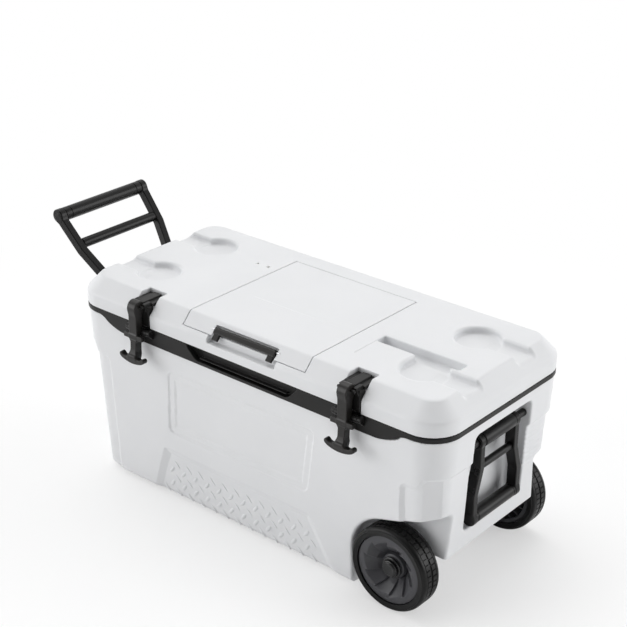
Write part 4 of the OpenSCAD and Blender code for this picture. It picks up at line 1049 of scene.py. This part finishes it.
def tyre_rings(step):
    """Tyre rings of (radius, distance outward): two rows of tread blocks between plain shoulders."""
    mid, side = (tyre_out + tyre_in)/2, (tyre_out - tyre_in)/2
    path = [(TYRE_SEAT + 0.05, tyre_out - 2.2), (65.3, tyre_out - 0.7), (66.2, tyre_out - 0.4),
            (72.6, tyre_out - 0.3), (73.2, tyre_out), (74.4, tyre_out), (74.9, tyre_out - 1.2)]
    path += [(75 + 5*math.sin(a), tyre_out - 9.4 + 8*math.cos(a)) for a in np.linspace(0.12, 1.5, 7)]
    path += [(80, mid + side - 9.0), (80, mid + side - 9.2), (80, mid + 13.4), (79.1, mid + 13.0),
             (79.1, mid + 12.2), (80, mid + 11.8), (80, mid + 9), (80, mid + 5), (80, mid + 2.4),
             (78.2, mid + 1.9)]
    outer = np.array(path)
    inner = outer[::-1].copy()
    inner[:, 1] = 2*mid - inner[:, 1]
    rings = np.concatenate([outer, inner])
    angle = np.arange(step)*360/step
    radii = np.repeat(rings[:, :1], step, 1)
    for low, high, shift in ((2.3, 12, 0), (-12, -2.3, 3.0)):
        row = (rings[:, 1] - mid > low) & (rings[:, 1] - mid < high) & (rings[:, 0] > 79.5)
        slit = np.abs((angle + shift) % 7.5 - 3.75) < 0.3
        radii[np.ix_(row, slit)] -= 1.7
    return radii, np.repeat(rings[:, 1:], step, 1)


def rim_rings(step):
    """Grey wheel: flat outer ring, a dish cut by leaning blades, and a stepped hub."""
    angle = np.linspace(0, 1, step, endpoint=False)
    hub = [(HUB_BORE, HUB_OUT - 0.4), (17.5, HUB_OUT), (18.6, HUB_OUT - 0.8), (19.6, HUB_OUT - 3.4),
           (22.2, HUB_OUT - 4.2), (23.2, HUB_OUT - 5.4), (23.8, HUB_OUT - 9)]
    dish, face = [], tyre_out - 3
    saw = (angle*BLADES) % 1
    blade = BLADE_LIFT*np.minimum(saw, 24*(1 - saw))
    for r in np.linspace(BLADE_FROM, BLADE_TO, 32):
        reach = r - BLADE_FROM
        swept = np.interp((angle + 0.0014*reach) % 1, angle, blade, period=1)
        cone = tyre_out - 27.5 + 0.82*reach
        dish.append((np.full(step, r), np.minimum(cone + swept*min(reach/9, 1), face)))
    flange = [(56.6, face), (62.8, face), (64.2, face - 0.5), (TYRE_SEAT - 0.05, face - 1.6),
              (TYRE_SEAT - 0.05, tyre_in + 3.6), (64, tyre_in + 3), (58.5, tyre_in + 3), (57.2, tyre_in + 4),
              (56.8, tyre_out - 17.4), (24, tyre_out - 34), (20, tyre_out - 35), (20, HUB_IN + 0.6),
              (19.2, HUB_IN), (HUB_BORE, HUB_IN)]
    parts = even(hub, step), tuple(np.stack(part) for part in zip(*dish)), even(flange, step)
    return tuple(np.concatenate(rings) for rings in zip(*parts))


def cap_rings(step):
    """Black hub cap: a stepped knob with a dished end."""
    path = [(0.01, HUB_OUT + 9.3), (7, HUB_OUT + 9.35), (9.2, HUB_OUT + 9.6), (10.2, HUB_OUT + 10),
            (12.2, HUB_OUT + 10), (13.4, HUB_OUT + 9.4), (14.1, HUB_OUT + 8.1), (15.2, HUB_OUT + 7.9),
            (15.9, HUB_OUT + 7.2), (16, HUB_OUT + 3.9), (16.5, HUB_OUT + 3.1), (18.9, HUB_OUT + 2.9),
            (19.8, HUB_OUT + 2.1), (20, HUB_OUT + 0.1), (11, HUB_OUT + 0.1), (11, HUB_OUT + 8),
            (0.01, HUB_OUT + 8)]
    return even(path, step)


def wheel_ribs(name, body, place, count=18):
    """Thin ribs that stiffen the inner side of the wheel between hub and rim."""
    points, faces = [], []
    corners = ((19.5, HUB_IN + 2.5), (57.2, tyre_in + 6.5), (57.2, tyre_out - 18.5), (19.5, tyre_out - 36))
    for k in range(count):
        a = 2*math.pi*k/count
        out, across = np.array([math.cos(a), math.sin(a)]), np.array([-math.sin(a), math.cos(a)])*0.9
        first = len(points)
        for r, h in corners:
            for s in (-1, 1):
                points.append((*(out*r + s*across), h))
        for i in range(4):
            a0, b0 = first + 2*i, first + 2*((i + 1) % 4)
            faces.append((a0, a0 + 1, b0 + 1, b0))
        faces.append((first, first + 2, first + 4, first + 6))
        faces.append((first + 7, first + 5, first + 3, first + 1))
    points = np.array(points) @ np.array(place.to_3x3()).T + np.array(place.translation)
    add_piece(name, mesh_of(name, points*MM, faces), "wheel_grey", body)


def wound(rings):
    """Rings in the order that turns the faces outward."""
    return tuple(part[::-1] for part in rings)


for sign, name in ENDS:
    axis_place, body = spin_axis[sign], "wheel_" + name
    turned("tyre_ring_" + name, *wound(tyre_rings(720)), "tyre_plastic", body, ["tyre_" + name],
           axis_place, closed=True)
    turned("wheel_face_" + name, *wound(rim_rings(300)), "wheel_grey", body, ["wheel_rim_" + name],
           axis_place, closed=True)
    turned("wheel_cap_" + name, *wound(cap_rings(72)), "cap_black", body, ["hub_cap_" + name], axis_place)
    wheel_ribs("wheel_ribs_" + name, body, axis_place)


# ---------- handles ----------

along_width = Matrix.Rotation(-math.pi/2, 4, "X")
ROD_ROOM = 4.05                               # radius of the hole for a handle's steel rod
TOW_IN, TOW_DROP = 18, 51                     # its pivot in from the end and under the rim
TOW_ANGLE = 138.5                             # how far it is turned outward
CARRY_IN, CARRY_DROP = 19, 59                 # the pivot of the handle at the wheels
TOW_WIDTH, TOW_DEPTH, TOW_TIP = 15, 18, 14    # a rail's width and depth, and the radius of its round end
CARRY_WIDTH, CARRY_DEPTH, CARRY_TIP = 13, 20, 13
TOW_TUBE_D, TOW_GRIP_D = 152, 220             # distances along the handle from its pivot
CARRY_BAR_D, CARRY_GRIP_D, NEST_GRIP_D = 51, 146, 124


def hung(e, inward, drop, angle):
    """Frame of a handle: the origin on its pivot, Z up when it hangs, turned outward by the angle."""
    turn = Matrix.Rotation(math.radians(-e*angle), 4, "Y")
    return Matrix.Translation((e*(half_l - inward), 0, rim_z - drop)) @ turn


def rails(path, width, depth, tip, ring=None):
    """Both side rails of a handle: a flat kinked bar between a pivot eye and a round end."""
    def field(x, y, z):
        across, d = np.abs(y), -z
        bar = common(strip(across, d, path, width/2), np.abs(x) - depth/2, 1.8)
        (eye_y, _), (tip_y, tip_d) = path[0], path[-1]
        eye = common(np.hypot(x, d) - depth/2 - 2, np.abs(across - eye_y) - width/2, 1.5)
        end = common(np.hypot(x, d - tip_d) - tip, np.abs(across - tip_y) - width/2, 2.4)
        body = joined(joined(bar, eye, 2), end, 3)
        dent = common(np.hypot(x, d) - depth/2 + 1.6, eye_y + width/2 - 1 - across)
        body = cut(body, dent, 0.5)
        if ring:
            body = cut(body, np.hypot(across - ring, np.hypot(x, d) - depth/2 - 2) - 0.8, 0.2)
        return cut(body, np.hypot(x, d) - ROD_ROOM)
    return field


def tube(name, radius, half, centre_d, frame_of, slot, body, stands_for, groove=None, hollow=None):
    """A round bar across a handle, centre_d along it from the pivot, with a ring groove near each end."""
    side = [(radius - 1.0, half), (radius - 0.2, half - 0.5), (radius, half - 1.4)]
    if groove:
        side += [(radius, groove + 1.0), (radius - 0.9, groove + 0.7),
                 (radius - 0.9, groove - 0.3), (radius, groove - 0.7)]
    side += [(radius, half*0.4)]
    path = side + [(r, -h) for r, h in reversed(side)]
    closed = hollow is not None
    if closed:
        path += [(hollow, -half), (hollow, half)]
    else:
        path = [(0.01, half)] + path + [(0.01, -half)]
    place = frame_of @ Matrix.Translation((0, 0, -centre_d)) @ along_width
    turned(name, *wound(even(path, 64)), slot, body, stands_for, place, closed=closed)


tow_frame, left_frame = hung(-1, TOW_IN, TOW_DROP, TOW_ANGLE), hung(-1, TOW_IN, TOW_DROP, 0)
right_frame = hung(1, CARRY_IN, CARRY_DROP, 0)
TOW_PATH = [(72, 0), (72, 13), (76, 30), (103.5, 139), (108, 204), (108, TOW_GRIP_D)]
CARRY_PATH = [(51, 0), (51, 52), (64.5, 97), (64.5, CARRY_GRIP_D)]

moulded("tow_side_rails", rails(TOW_PATH, TOW_WIDTH, TOW_DEPTH, TOW_TIP),
        [lines((-15.5, 15.5, 1.15)), lines((-117, -63, 1.2), (-63, 63, 9), (63, 117, 1.2)),
         lines((-236, 12.5, 1.4))],
        "grip_plastic", "tow_handle", ["tow_rails"], faces=36000, place=tow_frame)
tube("tow_cross_tube", 10, 96, TOW_TUBE_D, tow_frame, "grip_plastic", "tow_handle", ["tow_crossbar"])
tube("tow_hand_grip", 13.5, 100.5, TOW_GRIP_D, tow_frame, "grip_plastic", "tow_handle", ["tow_grip"], groove=86)

moulded("carry_side_rails_right", rails(CARRY_PATH, CARRY_WIDTH, CARRY_DEPTH, CARRY_TIP, 46),
        [lines((-14.5, 14.5, 1.1)), lines((-72.5, -43, 1.0), (-43, 43, 9), (43, 72.5, 1.0)),
         lines((-160.5, 13.5, 1.3))],
        "grip_plastic", "carry_handle_right", ["carry_rails_right"], faces=30000, place=right_frame)
tube("carry_top_tube_right", 13, 44.5, 0, right_frame, "grip_plastic", "carry_handle_right",
     ["carry_tube_right"], hollow=4.2)
tube("carry_thin_bar_right", 7, 44.5, CARRY_BAR_D, right_frame, "grip_plastic", "carry_handle_right",
     ["carry_crossbar_right"])
tube("carry_hand_grip_right", 12.5, 58, CARRY_GRIP_D, right_frame, "grip_plastic", "carry_handle_right",
     ["carry_grip_right"], groove=53)
for sign, name in ENDS:
    boss_frame = right_frame @ Matrix.Translation((0, sign*70.8, 0))
    tube("pivot_boss_" + name, 7, 12.6, 0, boss_frame, "grip_plastic", "root", [], hollow=4.3)


def nested_plate(x, y, z):
    """Left carry handle inside the tow handle: a tube, a short plate and two flat sides."""
    u, d = np.abs(y), -z
    top = common(np.hypot(x, d) - 11, u - 58, 1.5)
    plate = common(np.abs(x) - 3, np.maximum(u - 48, between(d, 0, 46)), 1.2)
    sides = common(common(between(u, 46, 58), np.abs(x) - 7, 2.0), between(d, 0, NEST_GRIP_D + 4), 4)
    body = joined(joined(top, plate, 3), sides, 3)
    body = cut(body, common(rounded_box(y, d - 29, 30, 9, 6), 1.9 - np.abs(x)), 0.6)
    return cut(body, np.hypot(x, d) - ROD_ROOM)


moulded("carry_plate_shell_left", nested_plate,
        [lines((-12.5, 12.5, 1.2)), lines((-59.5, 59.5, 1.5)), lines((-129.5, 12.5, 1.5))],
        "grip_plastic", "carry_handle_left", ["carry_plate_left"], faces=24000, place=left_frame)
tube("carry_hand_grip_left", 11, 46, NEST_GRIP_D, left_frame, "grip_plastic", "carry_handle_left",
     ["carry_grip_left"], groove=38)


# ---------- hinges, drain, ice packs and clips ----------

HINGE_X, HINGE_Y = half_l - 175, half_w + 6
KNUCKLE, KNUCKLE_R, HINGE_BORE = 17.2, 6, 2.85


def leaf(low_z, high_z, which, others):
    """One leaf of a hinge: a plate with screw recesses and its knuckles."""
    def field(x, y, z):
        plate = block(x, y, z, (-43, half_w + 0.3, low_z), (43, HINGE_Y - 0.6, high_z), 1.1)
        from_pin = np.hypot(y - HINGE_Y, z - rim_z)
        body = plate
        for i in which:
            body = joined(body, common(from_pin - KNUCKLE_R, np.abs(x + 34.4 - i*KNUCKLE) - 8.4, 0.7), 1.0)
        for i in others:
            body = cut(body, np.maximum(from_pin - KNUCKLE_R - 0.6, np.abs(x + 34.4 - i*KNUCKLE) - 8.8))
        middle = (low_z + high_z)/2 + (4 if low_z > rim_z else -5)
        for screw_x in (-28, 0, 28):
            u, v = x - screw_x, z - middle
            seat = common(np.hypot(u, v) - 5.2, HINGE_Y - 2.1 - y, 0.3)
            head = common(np.hypot(u, v) - 4.3, y - HINGE_Y + 1.0, 0.8)
            one, other = (common(np.abs(a) - 0.8, np.abs(b) - 2.8) for a, b in ((u, v), (v, u)))
            slot = common(np.minimum(one, other), HINGE_Y - 2.4 - y)
            body = np.minimum(cut(body, seat, 0.3), np.maximum(common(head, half_w + 1 - y), -slot))
        return cut(body, from_pin - HINGE_BORE)
    return field


leaf_x, leaf_y = lines((-44.5, 44.5, 0.9)), lines((half_w - 1, half_w + 13.2, 0.7))
for sign, name in SIDES:
    here = Matrix.Translation((sign*HINGE_X, 0, 0))
    moulded("tub_leaf_" + name, leaf(rim_z - 32, rim_z - 1.2, (0, 2, 4), (1, 3)),
            [leaf_x, leaf_y, lines((rim_z - 33.5, rim_z + 7.5, 0.9))],
            "dark_plastic", "root", ["tub_hinge_" + name], faces=14000, place=here)
    moulded("lid_leaf_" + name, leaf(rim_z + 1.2, crease_z, (1, 3), (0, 2, 4)),
            [leaf_x, leaf_y, lines((rim_z - 7.5, crease_z + 1.5, 0.9))],
            "dark_plastic", "lid", ["lid_hinge_" + name], faces=14000, place=here)

drain_low, drain_high = box_mm("drain_fitting")
DRAIN_X, DRAIN_Z = (drain_low[0] + drain_high[0])/2, (drain_low[2] + drain_high[2])/2
DRAIN_OUT = drain_high[1]
drain_place = Matrix.Translation((DRAIN_X, 0, DRAIN_Z))
fitting = [(20.2, DRAIN_OUT), (21, DRAIN_OUT - 0.8), (21, DRAIN_OUT - 3.0), (20.4, DRAIN_OUT - 3.6),
           (14, DRAIN_OUT - 3.6), (14, drain_low[1] + 3), (18, drain_low[1] + 2.8), (18, drain_low[1] + 0.5),
           (17.4, drain_low[1]),
           (10.6, drain_low[1]), (10, drain_low[1] + 0.6), (10, DRAIN_OUT - 0.6), (10.6, DRAIN_OUT)]
turned("drain_collar", *even(fitting, 72), "dark_plastic", "root", ["drain_fitting"],
       drain_place @ along_width, closed=True)
plug_low, plug_high = box_mm("drain_plug")


def drain_knob(x, y, z):
    """Drain plug: a stem, a fluted cap and a finger bar across it."""
    angle, from_axis = np.arctan2(z, x), np.hypot(x, z)
    thread = 0.5*(np.abs((y - plug_low[1]) % 4 - 2) < 0.9)*(y < DRAIN_OUT - 5)
    stem = common(from_axis - 9.9 + thread, between(y, plug_low[1], DRAIN_OUT + 1.5), 1)
    flutes = 17.5 + 0.5*np.cos(angle*22)
    cap = common(from_axis - flutes, between(y, DRAIN_OUT + 0.3, plug_high[1] - 7), 1.6)
    bar = block(x, y, z, (-3.5, plug_high[1] - 9, -15), (3.5, plug_high[1], 15), 1.8)
    return joined(joined(stem, cap, 0.5), bar, 2)


moulded("drain_knob", drain_knob,
        [lines((-19.5, 19.5, 0.9)), lines((plug_low[1] - 1.5, plug_high[1] + 1.5, 0.9)),
         lines((-19.5, 19.5, 0.9))],
        "dark_plastic", "drain_plug", ["drain_plug"], faces=16000, place=drain_place)

pack_low, pack_high = box_mm("ice_pack_right")
clip_low, clip_high = box_mm("pack_clip_right")
PACK_X = (pack_low[0] + pack_high[0])/2


def freezer_pack(x, y, z):
    """Blue freezer pack: a soft-edged bottle with a bare sunk panel, a ring groove and two hand dents."""
    half_u, half_v = (pack_high[0] - pack_low[0])/2, pack_high[1]
    body = common(rounded_box(x, y, half_u, half_v, 22), between(z, pack_low[2], pack_high[2]), 6)
    panel = rounded_box(x, y - 12, half_u - 22, half_v - 44, 14)
    body = cut(body, common(panel, z - pack_low[2] - 1.0), 0.7)
    ring = np.abs(rounded_box(x, y, half_u - 9, half_v - 9, 15)) - 1.3
    body = cut(body, common(ring, z - pack_low[2] - 0.8), 0.5)
    for e in (-1, 1):
        dent = rounded_box(x - 34*e, y + half_v - 27, 16, 5, 5)
        body = cut(body, common(dent, z - pack_low[2] - 3.5, 2), 1.5)
    seam = np.hypot(rounded_box(x, y, half_u, half_v, 22), z - (pack_low[2] + pack_high[2])/2) - 0.6
    return cut(body, seam, 0.3)


def pack_holder(x, y, z):
    """Black clip: a foot that hooks over the pack's edge, and the riser that holds it to the lid."""
    riser = block(x, y, z, (-16, clip_low[1], clip_low[2]), (16, pack_low[1] - 0.3, clip_high[2]), 1.3)
    foot = block(x, y, z, (-16, clip_low[1], clip_low[2]), (16, clip_high[1], pack_low[2] - 0.3), 1.3)
    body = joined(riser, foot, 1.5)
    for rib_x in (-8, 0, 8):
        groove = common(np.abs(x - rib_x) - 1.2, between(y, clip_high[1] - 12, clip_high[1] - 3), 0.6)
        body = cut(body, groove, 0.3)
    return body


for sign, name in SIDES:
    here = Matrix.Translation((sign*PACK_X, 0, 0))
    moulded("freezer_pack_" + name, freezer_pack,
            grid((-(pack_high[0] - pack_low[0])/2, -pack_high[1], pack_low[2]),
                 ((pack_high[0] - pack_low[0])/2, pack_high[1], pack_high[2]), 1.7),
            "ice_pack_blue", "lid", ["ice_pack_" + name], faces=26000, place=here)
    moulded("pack_holder_" + name, pack_holder,
            [lines((-17.5, 17.5, 1)), lines((clip_low[1] - 1.5, clip_high[1] + 1.5, 1)),
             lines((clip_low[2] - 1.5, clip_high[2] + 1.5, 1))],
            "dark_plastic", "lid", ["pack_clip_" + name], faces=6000, place=here)
